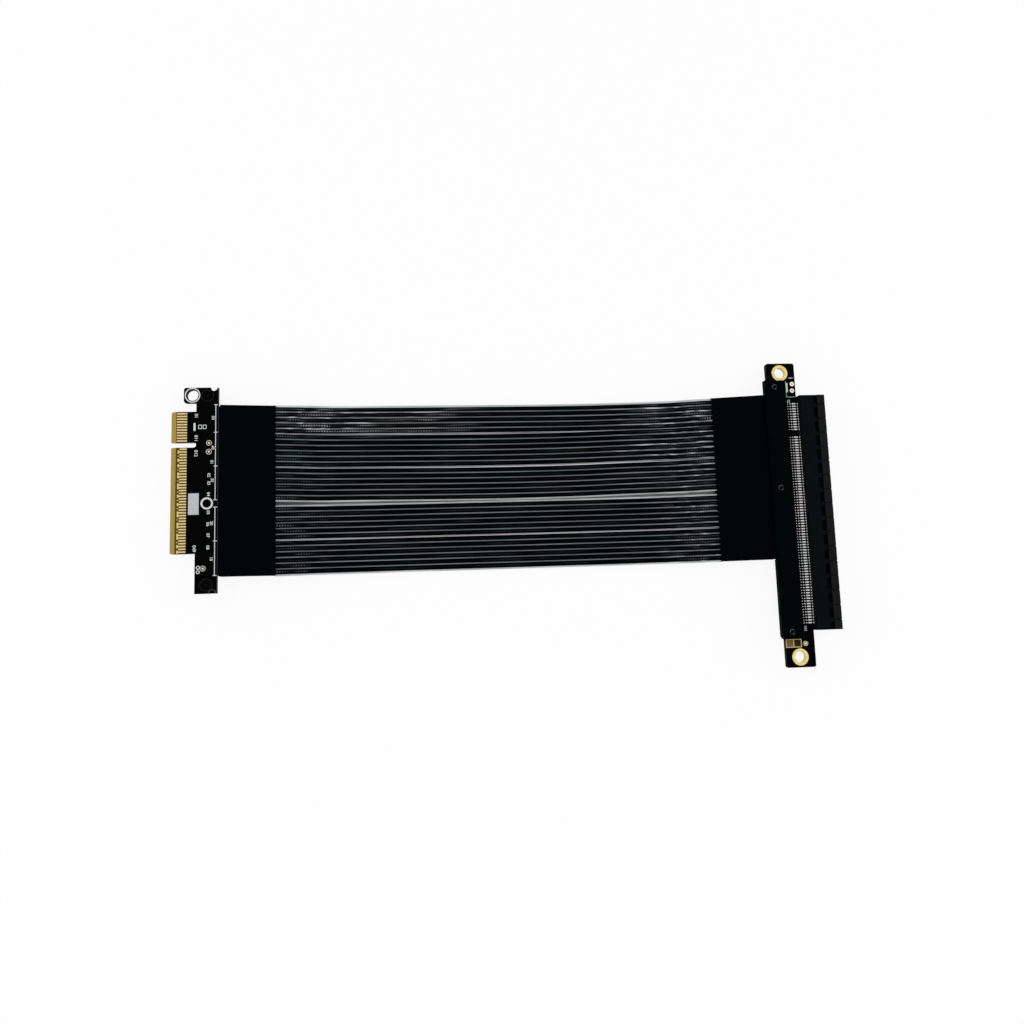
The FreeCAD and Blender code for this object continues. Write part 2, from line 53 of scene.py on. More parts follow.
BODY = "root"
Pair = tuple[float, float]
Triple = tuple[float, float, float]
Quad = tuple[float, float, float, float]
Colour = tuple[float, float, float]
Socket = bpy.types.NodeSocket
Points = list[bmesh.types.BMVert]


class Layer(Enum):
    """The two layers of ribbons, and the two faces of a board."""

    TOP = 1
    BOTTOM = -1

    @property
    def word(self) -> str:
        """The layer's word in the names of nodes."""
        return self.name.lower()


class Slot(Enum):
    """The record's material slots that the added pieces belong to."""

    BOARD = "board_black"
    GOLD = "gold"
    TIN = "tin"
    COVER = "cover_black"
    TAPE = "tape_black"
    RIBBON = "ribbon_black"


class RibbonFace(Enum):
    """The kinds of faces of a ribbon, by the number of their material."""

    LOBE = 0
    WEB = 1
    FILM = 2


@dataclass(frozen=True)
class ContactRow:
    """A row of contacts: places in mm across the board, counted from the middle of the key."""

    node: str
    half_width: float
    below_key: int
    above_key: int = 11
    pitch: float = 1.0
    key_to_contact: float = 1.5

    def key(self) -> float:
        """The place of the key's middle in the row frame, in metres."""
        outermost = self.key_to_contact + self.pitch * (self.above_key - 1) + self.half_width
        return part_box(self.node)[1].y - outermost * MM

    def shading(self, bright: float, edge: float) -> Quad:
        """The row of a finish in metres, with painted shade on a contact's sides between two places in mm
        beside a middle line.
        """
        return self.key() + self.key_to_contact * MM, self.pitch * MM, bright * MM, edge * MM

    def above(self) -> list[float]:
        """The middles of the contacts above the key."""
        return [self.key_to_contact + self.pitch * step for step in range(self.above_key)]

    def below(self) -> list[float]:
        """The middles of the contacts below the key."""
        return [-self.key_to_contact - self.pitch * step for step in range(self.below_key)]


FINGERS = ContactRow("edge_contacts_top", half_width=0.275, below_key=38)
TAILS = ContactRow("slot_contacts_top", half_width=0.275, below_key=71)


class Graph:
    """A material's node tree, with short calls for the nodes that the finishes share."""

    # The numbers of the Mix node's sockets for colours
    MIX_COLOURS = 6, 7
    MIX_RESULT = 2
    # How many finer octaves a noise has
    NOISE_DETAIL = 3.0

    def __init__(self, name: str) -> None:
        """Start a material that holds one Principled shader.

        Args:
            name: The material's name.
        """
        self.material = bpy.data.materials.new(name)
        self.material.use_nodes = True
        self.tree = self.material.node_tree
        self.shader = self.tree.nodes["Principled BSDF"]

    def node(self, kind: str, **settings: str) -> bpy.types.Node:
        """Add a node.

        Args:
            kind: The node's type name without its ShaderNode prefix.
            **settings: Properties to set on the node.

        Returns:
            The new node.
        """
        node = self.tree.nodes.new(f"ShaderNode{kind}")
        for name, value in settings.items():
            setattr(node, name, value)
        return node

    def feed(self, target: Socket, value: Socket | float | Colour) -> None:
        """Link a socket to an input, or set the input to a plain value.

        Args:
            target: The input.
            value: The socket, number or colour that it takes.
        """
        if isinstance(value, bpy.types.NodeSocket):
            self.tree.links.new(value, target)
        elif isinstance(value, tuple) and len(target.default_value) == 4:
            target.default_value = (*value, 1.0)
        else:
            target.default_value = value

    def math(self, operation: str, *values: Socket | float) -> Socket:
        """Work out one number from up to three others.

        Args:
            operation: The Math node's operation.
            *values: Sockets or plain numbers.

        Returns:
            The result's socket.
        """
        node = self.node("Math", operation=operation)
        for target, value in zip(node.inputs, values):
            self.feed(target, value)
        return node.outputs[0]

    def between(self, value: Socket, low: float, high: float) -> Socket:
        """Make a share that is 1 where a value lies between two others, and 0 elsewhere."""
        above, below = self.math("GREATER_THAN", value, low), self.math("LESS_THAN", value, high)
        return self.math("MULTIPLY", above, below)

    def waves(self, value: Socket, length: float) -> Socket:
        """Make waves from -1 to 1 that repeat each time a value has grown by a length."""
        return self.math("SINE", self.math("MULTIPLY", value, math.tau / length))

    def mix(self, factor: Socket | float, first: Socket | Colour, second: Socket | Colour) -> Socket:
        """Mix two colours.

        Args:
            factor: The share of the second colour.
            first: The first colour.
            second: The second colour.

        Returns:
            The mixed colour's socket.
        """
        node = self.node("Mix", data_type="RGBA")
        self.feed(node.inputs[0], factor)
        for number, colour in zip(self.MIX_COLOURS, (first, second)):
            self.feed(node.inputs[number], colour)
        return node.outputs[self.MIX_RESULT]

    def ramp(self, value: Socket, low: float, high: float, start: float = 0.0, end: float = 1.0) -> Socket:
        """Map a value smoothly from one range to another.

        Args:
            value: The value to map.
            low: Where the first range starts.
            high: Where the first range ends.
            start: What the low end becomes.
            end: What the high end becomes.

        Returns:
            The mapped value's socket.
        """
        node = self.node("MapRange", interpolation_type="SMOOTHSTEP")
        for target, number in zip(node.inputs, (value, low, high, start, end)):
            self.feed(target, number)
        return node.outputs[0]

    def place(self) -> Socket:
        """Places on the object, in metres in the row frame."""
        return self.node("TexCoord").outputs["Object"]

    def parts(self, vector: Socket) -> tuple[Socket, Socket, Socket]:
        """Split a vector.

        Args:
            vector: The vector's socket.

        Returns:
            The sockets of its X, Y and Z.
        """
        node = self.node("SeparateXYZ")
        self.feed(node.inputs[0], vector)
        return tuple(node.outputs)

    def noise(self, size: float, stretch: Triple = (1.0, 1.0, 1.0)) -> Socket:
        """Noise with features of a given size.

        Args:
            size: The size of the features in metres.
            stretch: How many times longer the features are along each axis.

        Returns:
            The noise's value socket, about 0 to 1.
        """
        mapping = self.node("Mapping")
        self.feed(mapping.inputs["Vector"], self.place())
        mapping.inputs["Scale"].default_value = tuple(1.0 / factor for factor in stretch)
        texture = self.node("TexNoise")
        self.feed(texture.inputs["Vector"], mapping.outputs[0])
        texture.inputs["Scale"].default_value = 1.0 / size
        texture.inputs["Detail"].default_value = self.NOISE_DETAIL
        return texture.outputs[0]

    def bump(self, height: Socket, depth: float, strength: float = 1.0) -> None:
        """Raise the look of the surface.

        Args:
            height: The height at each place, from 0 to 1.
            depth: What a height of 1 stands for, in metres.
            strength: The share of it that shows.
        """
        node = self.node("Bump")
        self.feed(node.inputs["Height"], height)
        node.inputs["Distance"].default_value = depth
        node.inputs["Strength"].default_value = strength
        self.tree.links.new(node.outputs[0], self.shader.inputs["Normal"])


def shaded(colour: Colour, share: float) -> Colour:
    """Multiply a colour by a share."""
    return tuple(channel * share for channel in colour)


def span(start: float, places: Pair) -> Pair:
    """Turn two places in mm from a start, which is in metres, into metres."""
    return tuple(start + place * MM for place in places)


@dataclass(frozen=True)
class Finish:
    """What every finish states: its name, colour and gloss."""

    name: str
    colour: Colour
    roughness: float
    specular: float
    metallic: float = 0.0

    # Where patches of noise start and are full, and how far they swing the roughness, as a share
    PATCHES = 0.3, 0.7
    ROUGH_SWING = 0.1

    def start(self) -> Graph:
        """Start the material with the plain values on the shader's own sockets.

        Returns:
            The material's graph.
        """
        graph = Graph(self.name)
        graph.feed(graph.shader.inputs["Base Color"], self.colour)
        graph.feed(graph.shader.inputs["Roughness"], self.roughness)
        graph.feed(graph.shader.inputs["Specular IOR Level"], self.specular)
        graph.feed(graph.shader.inputs["Metallic"], self.metallic)
        return graph

    def mottle(self, graph: Graph, size: float, spread: float) -> Socket:
        """Vary the colour and the roughness a little over the surface.

        Args:
            graph: The material's graph.
            size: The size of the patches in metres.
            spread: How far the colour swings either way, as a share.

        Returns:
            The varied colour's socket.
        """
        patches = graph.ramp(graph.noise(size), *self.PATCHES)
        colour = graph.mix(patches, shaded(self.colour, 1 - spread), shaded(self.colour, 1 + spread))
        graph.feed(graph.shader.inputs["Base Color"], colour)
        rough = graph.ramp(patches, 0.0, 1.0, self.roughness * (1 - self.ROUGH_SWING),
                           min(1.0, self.roughness * (1 + self.ROUGH_SWING)))
        graph.feed(graph.shader.inputs["Roughness"], rough)
        return colour


@dataclass(frozen=True)
class MouldedPlastic(Finish):
    """Injection moulded plastic with a fine grain, and optional lighter faces past one place in X and Z."""

    patch: float = 4 * MM
    spread: float = 0.2
    grain: float = 0.15 * MM
    grain_depth: float = 0.006 * MM
    lighter: Colour | None = None
    lighter_from: float = 0.0
    # The lighter faces lie at least this far above or below a middle height
    lighter_middle: float = 0.0
    lighter_rise: float = 0.0

    def make(self) -> bpy.types.Material:
        """Make the material.

        Returns:
            The new material.
        """
        graph = self.start()
        colour = self.mottle(graph, self.patch, self.spread)
        if self.lighter:
            along, _, height = graph.parts(graph.place())
            off_middle = graph.math("ABSOLUTE", graph.math("SUBTRACT", height, self.lighter_middle))
            inside = graph.math("MULTIPLY", graph.math("GREATER_THAN", along, self.lighter_from),
                                graph.math("GREATER_THAN", off_middle, self.lighter_rise))
            graph.feed(graph.shader.inputs["Base Color"], graph.mix(inside, colour, self.lighter))
        graph.bump(graph.noise(self.grain), self.grain_depth)
        return graph.material


@dataclass(frozen=True)
class BoardMask(Finish):
    """Black solder mask over glass laminate: laminate shows at the cut edges, and a bevel may be plated."""

    laminate: Colour = (0.003, 0.0028, 0.0024)
    bevel: Colour | None = None
    bevel_end: float = 0.0
    patch: float = 2 * MM
    spread: float = 0.3
    ply: float = 0.2 * MM
    ply_share: float = 0.2
    dark_ply: float = 0.4
    weave: float = 0.3 * MM
    weave_stretch: Triple = (4.0, 4.0, 1.0)
    weave_range: Pair = (0.2, 0.8)
    brushing: float = 0.25 * MM
    brushing_stretch: Triple = (1.0, 12.0, 1.0)
    brushed_shade: float = 0.8
    grain: float = 0.4 * MM
    grain_depth: float = 0.004 * MM
    # How upright a face's normal is where laminate ends and where the mask is full
    level_range: Pair = (0.3, 0.5)

    def make(self) -> bpy.types.Material:
        """Make the material.

        Returns:
            The new material.
        """
        graph = self.start()
        mask = self.mottle(graph, self.patch, self.spread)
        normal = graph.node("NewGeometry").outputs["Normal"]
        upright = graph.math("ABSOLUTE", graph.parts(normal)[2])
        x, _, z = graph.parts(graph.place())
        weave = graph.noise(self.weave, self.weave_stretch)
        light = graph.math("MULTIPLY_ADD", graph.waves(z, self.ply), self.ply_share, weave)
        dark = shaded(self.laminate, self.dark_ply)
        cut = graph.mix(graph.ramp(light, *self.weave_range), dark, self.laminate)
        colour = graph.mix(graph.ramp(upright, *self.level_range), cut, mask)
        if self.bevel:
            brushed = graph.ramp(graph.noise(self.brushing, self.brushing_stretch), *self.PATCHES)
            plated = graph.mix(brushed, shaded(self.bevel, self.brushed_shade), self.bevel)
            near_tip = graph.math("LESS_THAN", x, self.bevel_end)
            colour = graph.mix(near_tip, colour, plated)
        graph.feed(graph.shader.inputs["Base Color"], colour)
        graph.bump(graph.noise(self.grain), self.grain_depth)
        return graph.material


@dataclass(frozen=True)
class PlatedMetal(Finish):
    """Plated metal with fine scratches along one way.

    A row of contacts may be darker at the contacts' sides, as painted shade, and in stretches along them, as
    painted shade on the tails and a darker end on the fingers.
    """

    scratch: Triple = (8.0, 1.0, 1.0)
    scratch_size: float = 0.12 * MM
    scratch_depth: float = 0.003 * MM
    patch: float = 0.8 * MM
    spread: float = 0.08
    # The colour of painted shade at the contacts' sides and tails, also used for the fingers' darker starts
    dull: Colour | None = None
    # The row's middle line and pitch, and how far beside a middle line the painted shade of a contact's
    # sides starts and ends
    row: Quad = (0.0, 1.0, 1.0, 2.0)
    # Where along X the whole contact takes the darker colour
    stretches: tuple[Pair, ...] = ()

    def make(self) -> bpy.types.Material:
        """Make the material.

        Returns:
            The new material.
        """
        graph = self.start()
        colour = self.mottle(graph, self.patch, self.spread)
        if self.dull:
            along, across, _ = graph.parts(graph.place())
            # Painted shade darkens each contact's sides, and whole stretches along it are darker
            middle, pitch, bright, edge = self.row
            turns = graph.math("DIVIDE", graph.math("SUBTRACT", across, middle), pitch)
            beside = graph.math("ABSOLUTE", graph.math("SUBTRACT", turns, graph.math("ROUND", turns)))
            shade = graph.ramp(beside, bright / pitch, edge / pitch)
            for stretch in self.stretches:
                shade = graph.math("MAXIMUM", shade, graph.between(along, *stretch))
            graph.feed(graph.shader.inputs["Base Color"], graph.mix(shade, colour, self.dull))
        graph.bump(graph.noise(self.scratch_size, self.scratch), self.scratch_depth)
        return graph.material


@dataclass(frozen=True)
class ClothTape(Finish):
    """Dull woven tape: threads both ways, a faint sheen."""

    thread: float = 0.24 * MM
    thread_depth: float = 0.03 * MM
    thread_share: float = 0.4
    loose: float = 0.5 * MM
    patch: float = 6 * MM
    spread: float = 0.3

    def make(self) -> bpy.types.Material:
        """Make the material.

        Returns:
            The new material.
        """
        graph = self.start()
        self.mottle(graph, self.patch, self.spread)
        x, y, _ = graph.parts(graph.place())
        crossing = graph.math("MULTIPLY", graph.waves(x, self.thread), graph.waves(y, self.thread))
        threads = graph.math("MULTIPLY_ADD", crossing, self.thread_share, graph.noise(self.loose))
        graph.bump(threads, self.thread_depth)
        return graph.material


@dataclass(frozen=True)
class Stretch:
    """A stretch of the cable where painted highlights show.

    Each pair of places, in mm, says where it starts to show and where it shows in full.
    """

    along: Pair
    across: Pair
    strength: float

    def mask(self, graph: Graph) -> Socket:
        """Make the share in which it shows.

        Args:
            graph: The material's graph.

        Returns:
            The socket of a share from 0 to the strength.
        """
        x, y, _ = graph.parts(graph.place())
        shares = [graph.ramp(place, start * MM, full * MM) for place, (start, full)
                  in ((x, self.along), (y, self.across))]
        return graph.math("MULTIPLY", graph.math("MULTIPLY", *shares), self.strength)


# Places across in mm where a stretch starts and is full, for the first ribbon alone and for all of them
FIRST_RIBBON = (31.5, 33.6)
ALL_RIBBONS = (-30.0, -25.0)
# How far under a tape a ribbon still counts as bare, in mm
TAPE_EDGE = 0.5
BETWEEN_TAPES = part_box("edge_tape")[1].x - TAPE_EDGE * MM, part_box("slot_tape")[0].x + TAPE_EDGE * MM


@dataclass(frozen=True)
class RibbonFinish(Finish):
    """What the finishes of a ribbon share: painted highlights, as streaks in given stretches where light
    catches it.
    """

    # The colour of painted glints and highlights
    glint: Colour = (0.95, 0.97, 0.97)
    # Stretches of painted highlight streaks, and how strongly they show
    highlighted: tuple[Stretch, ...] = (
        Stretch((-10.0, -40.0), FIRST_RIBBON, 0.9), Stretch((30.0, 62.0), (10.0, 26.0), 0.9),
        Stretch((50.0, 72.0), ALL_RIBBONS, 0.6),
    )
    # Size, stretch and range of the noise that breaks painted highlights into streaks
    highlight_size: float = 2 * MM
    highlight_stretch: Triple = (8.0, 0.25, 0.25)
    highlight_range: Pair = (0.54, 0.68)

    def bare(self, graph: Graph) -> Socket:
        """Tell the bare stretch between the tapes, where the share is 1, from the rest."""
        return graph.between(graph.parts(graph.place())[0], *BETWEEN_TAPES)

    def most(self, graph: Graph, stretches: tuple[Stretch, ...], least: float) -> Socket:
        """Take the strongest of several stretches at each place, and nothing under the tapes.

        Args:
            graph: The material's graph.
            stretches: The stretches.
            least: The share outside them.

        Returns:
            The share's socket.
        """
        share = least
        for stretch in stretches:
            share = graph.math("MAXIMUM", share, stretch.mask(graph))
        return graph.math("MULTIPLY", share, self.bare(graph))

    def highlight_streaks(self, graph: Graph) -> Socket:
        """Make streaks of painted highlight along the cable in the highlighted stretches, as a share from 0
        to 1.
        """
        highlight_streaks = graph.ramp(graph.noise(self.highlight_size, self.highlight_stretch), *self.highlight_range)
        return graph.math("MULTIPLY", highlight_streaks, self.most(graph, self.highlighted, 0.0))


@dataclass(frozen=True)
class RibbonJacket(RibbonFinish):
    """Black lobes of a ribbon: the wrapped shield under the jacket shows as rows of dots, painted as glints
    in the base colour.

    The surface's UV runs in millimetres along the ribbon and in lobes across it.
    """

    # Stretches where the shield's dots show as painted glints, and how strongly; elsewhere they are faint
    dot_glints: tuple[Stretch, ...] = (
        Stretch((0.0, -35.0), FIRST_RIBBON, 0.9), Stretch((-68.0, -76.0), ALL_RIBBONS, 0.25),
        Stretch((35.0, 62.0), (28.0, 34.0), 0.45), Stretch((40.0, 72.0), ALL_RIBBONS, 0.16),
    )
    least_dot_glint: float = 0.05
    dot_pitch: float = 0.93
    dot_range: Pair = (0.1, 0.95)
    dot_depth: float = 0.02 * MM
    dot_strength: float = 0.6
    # Shares of a lobe beside its middle: where a row of dots fades, and where the painted highlight on the
    # lobe's shoulder starts
    row_range: Pair = (0.05, 0.17)
    shoulder_range: Pair = (0.43, 0.48)
    wander: float = 2 * MM
    wander_stretch: Triple = (3.0, 0.3, 0.3)
    wander_share: float = 0.4
    patch: float = 5 * MM
    patch_stretch: Triple = (4.0, 0.25, 0.25)
    patch_range: Pair = (0.44, 0.7)
    faintest: float = 0.03

    def make(self) -> bpy.types.Material:
        """Make the material.

        Returns:
            The new material.
        """
        graph = self.start()
        along, across, _ = graph.parts(graph.node("TexCoord").outputs["UV"])
        side = graph.math("SUBTRACT", graph.math("FRACT", across), 0.5)
        wander = graph.math("MULTIPLY_ADD", graph.noise(self.wander, self.wander_stretch),
                            self.wander_share, -self.wander_share / 2)
        off_row = graph.math("ABSOLUTE", graph.math("ADD", side, wander))
        in_row = graph.ramp(off_row, *self.row_range, 1.0, 0.0)
        beads = graph.ramp(graph.waves(along, self.dot_pitch), *self.dot_range)
        dots = graph.math("MULTIPLY", in_row, beads)
        patches = graph.ramp(graph.noise(self.patch, self.patch_stretch), *self.patch_range,
                             self.faintest, 1.0)
        # Painted glints on the dots and painted highlight streaks on the lobes' shoulders, mixed into the
        # base colour
        glint_share = graph.math("MULTIPLY", patches, self.most(graph, self.dot_glints, self.least_dot_glint))
        shoulder = graph.ramp(graph.math("ABSOLUTE", side), *self.shoulder_range)
        lit = graph.math("MAXIMUM", graph.math("MULTIPLY", dots, glint_share),
                         graph.math("MULTIPLY", shoulder, self.highlight_streaks(graph)))
        graph.feed(graph.shader.inputs["Base Color"], graph.mix(lit, self.colour, self.glint))
        graph.bump(dots, self.dot_depth, self.dot_strength)
        return graph.material


@dataclass(frozen=True)
class ClearFilm(RibbonFinish):
    """Clear film between and beside the lobes, a little cloudy, with painted highlight streaks, and painted
    shade under the tapes.
    """

    alpha: float = 1.0
    # Painted shade on the film under the tapes
    shade_under_tapes: Colour = (0.001, 0.001, 0.001)
    cloud: float = 8 * MM
    cloud_stretch: Triple = (4.0, 0.2, 0.2)
    cloud_range: Pair = (0.3, 0.75)
    cloud_shades: Pair = (0.7, 1.35)
    ripple: float = 1.5 * MM
    ripple_stretch: Triple = (6.0, 1.0, 1.0)
    ripple_depth: float = 0.02 * MM

    def make(self) -> bpy.types.Material:
        """Make the material.

        Returns:
            The new material.
        """
        graph = self.start()
        graph.feed(graph.shader.inputs["Alpha"], self.alpha)
        clouds = graph.ramp(graph.noise(self.cloud, self.cloud_stretch), *self.cloud_range)
        dim, bright = (shaded(self.colour, share) for share in self.cloud_shades)
        # Painted highlight streaks over the clouds, and painted shade under the tapes
        colour = graph.mix(self.highlight_streaks(graph), graph.mix(clouds, dim, bright), self.glint)
        graph.feed(graph.shader.inputs["Base Color"], graph.mix(self.bare(graph), self.shade_under_tapes, colour))
        graph.bump(graph.noise(self.ripple, self.ripple_stretch), self.ripple_depth)
        return graph.material


@dataclass(frozen=True)
class PrintInk(Finish):
    """Screen printed ink, slightly uneven."""

    patch: float = 0.4 * MM
    spread: float = 0.1
    grain: float = 0.1 * MM
    grain_depth: float = 0.003 * MM

    def make(self) -> bpy.types.Material:
        """Make the material.

        Returns:
            The new material.
        """
        graph = self.start()
        self.mottle(graph, self.patch, self.spread)
        graph.bump(graph.noise(self.grain), self.grain_depth)
        return graph.material


class Palette:
    """Every finish of the cable, made once."""

    # Lengths in mm: the tab's plated bevel, the housing's lighter end, and that end's depth below its faces
    BEVEL = 1.82
    LIGHT_END = 2.92
    LIGHT_DEPTH = 0.1
    # Stretches in mm where contacts are darker: a darker end from a finger's start, and painted shade on the
    # tails from the slot board's right edge
    FINGER_STARTS = (-0.01, 0.2)
    TAIL_FEET = (-0.54, -0.01)
    TAIL_BENDS = (0.36, 1.2)

    def __init__(self) -> None:
        """Make the materials."""
        self.make_boards()
        self.make_metals()
        self.make_plastics()
        self.make_ribbons()
        self.make_inks()

    def make_boards(self) -> None:
        """Make the finishes of the two boards."""
        mask = BoardMask("slot_board_mask", (0.0006, 0.0006, 0.0007), 0.4, 0.02)
        self.slot_board = mask.make()
        self.edge_board = replace(mask, name="edge_board_mask", laminate=(0.01, 0.009, 0.006),
                                  bevel=(0.45, 0.315, 0.085),
                                  bevel_end=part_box("edge_board")[0].x + self.BEVEL * MM).make()

    def make_metals(self) -> None:
        """Make the plated and soldered finishes, and the bare pads beside them."""
        self.gold = PlatedMetal("gold_plate", (0.82, 0.63, 0.28), 0.4, 0.3, 0.35).make()
        # The fingers' sides darken as painted shade, and their starts are a darker end
        stub = PlatedMetal("stub_plate", (0.88, 0.68, 0.32), 0.4, 0.3, 0.35, dull=(0.24, 0.165, 0.03),
                           row=FINGERS.shading(bright=0.15, edge=0.33))
        self.stub = stub.make()
        starts = span(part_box("edge_contacts_top")[0].x, self.FINGER_STARTS)
        self.finger = replace(stub, name="finger_plate", stretches=(starts,)).make()
        self.frame_gold = PlatedMetal("frame_plate", (0.6, 0.5, 0.25), 0.45, 0.4, 0.35).make()
        self.pale_gold = PlatedMetal("pale_gold_plate", (0.95, 0.78, 0.28), 0.4, 0.5, 0.4).make()
        self.pad_gold = PlatedMetal("test_pad_plate", (0.98, 0.97, 0.82), 0.4, 0.5, 0.3).make()
        self.barrel = PlatedMetal("hole_plate", (0.75, 0.6, 0.25), 0.45, 0.4, 0.4, (1.0, 1.0, 6.0)).make()
        self.bare_laminate = PlatedMetal("bare_laminate", (0.085, 0.055, 0.003), 0.6, 0.1).make()
        self.brown_pad = PlatedMetal("bare_pad", (0.19, 0.115, 0.018), 0.5, 0.3, 0.3).make()
        self.dark_pad = PlatedMetal("dark_pad", (0.03, 0.015, 0.003), 0.6, 0.05).make()
        self.tin = PlatedMetal("tin_plate", (0.7, 0.74, 0.72), 0.38, 0.5, 0.3).make()
        slot_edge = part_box("slot_board")[1].x
        tail_shade = tuple(span(slot_edge, places) for places in (self.TAIL_FEET, self.TAIL_BENDS))
        # The tails' sides and two stretches of them darken as painted shade, for the dark gaps between their
        # glints
        self.contact = PlatedMetal("contact_plate", (0.98, 0.98, 0.96), 0.34, 0.5, 0.1,
                                   dull=(0.005, 0.005, 0.005), stretches=tail_shade,
                                   row=TAILS.shading(bright=0.17, edge=0.29)).make()
        self.solder = PlatedMetal("solder", (0.92, 0.92, 0.9), 0.32, 0.5, 0.25).make()

    def make_plastics(self) -> None:
        """Make the finishes of the covers, the pegs and the housing."""
        low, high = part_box("slot_housing")
        half = (high.z - low.z) / 2
        self.cover = MouldedPlastic("cover_plastic", (0.0003, 0.0014, 0.0016), 0.6, 0.012).make()
        self.stake = MouldedPlastic("stake_plastic", (0.0006, 0.0007, 0.0007), 0.5, 0.02).make()
        self.housing = MouldedPlastic("housing_plastic", (0.001, 0.0026, 0.0034), 0.5, 0.035,
                                      lighter=(0.0085, 0.0085, 0.0093),
                                      lighter_from=high.x - self.LIGHT_END * MM,
                                      lighter_middle=low.z + half,
                                      lighter_rise=half - self.LIGHT_DEPTH * MM).make()

    def make_ribbons(self) -> None:
        """Make the finishes of the ribbons and the tapes."""
        self.tape = ClothTape("cloth_tape", (0.0004, 0.0008, 0.0018), 0.8, 0.02).make()
        self.jacket = RibbonJacket("ribbon_jacket", (0.0002, 0.0009, 0.0015), 0.34, 0.01).make()
        self.web = ClearFilm("ribbon_web", (0.15, 0.19, 0.205), 0.35, 0.3).make()
        self.film = ClearFilm("ribbon_film", (0.5, 0.54, 0.49), 0.35, 0.3).make()
        self.margin = ClearFilm("ribbon_margin", (0.72, 0.79, 0.76), 0.3, 0.3, alpha=0.6).make()

    def make_inks(self) -> None:
        """Make the inks, the faint tones of moulded marks, and the tones of painted highlights."""
        self.ink = PrintInk("white_ink", (0.72, 0.75, 0.74), 0.6, 0.2).make()
        self.grey_ink = PrintInk("grey_ink", (0.5, 0.53, 0.57), 0.6, 0.2).make()
        # Faint tone of moulded marks, also the painted highlight along the board's edge
        self.faint_ink_and_highlight = PrintInk("faint_mark_and_highlight", (0.022, 0.024, 0.024), 0.5, 0.1).make()
        # Tone of painted highlights on the notch's rim and the pegs' marks
        self.highlight_ink = PrintInk("painted_highlight", (0.085, 0.09, 0.092), 0.5, 0.1).make()


def dress(material: bpy.types.Material, *names: str) -> None:
    """Give solids of the frame a finish.

    Args:
        material: The finish.
        *names: The solids' node names.
    """
    for name in names:
        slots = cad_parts[name].data.materials
        slots.clear()
        slots.append(material)
        LOG.info("dressed %s in %s", name, material.name)


def add_piece(name: str, mesh: bpy.types.Mesh, slot: Slot,
              *materials: bpy.types.Material) -> bpy.types.Object:
    """Put a mesh in the scene as a piece of the cable.

    Args:
        name: The piece's name.
        mesh: Its mesh, in metres in the row frame.
        slot: The record's slot that its finish belongs to; not used.
        *materials: Its materials, in the order of the faces' numbers.

    Returns:
        The new object.
    """
    for material in materials:
        mesh.materials.append(material)
    piece = bpy.data.objects.new(name, mesh)
    bpy.context.scene.collection.objects.link(piece)
    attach(piece, BODY)
    LOG.info("made %s with %d faces", name, len(mesh.polygons))
    return piece


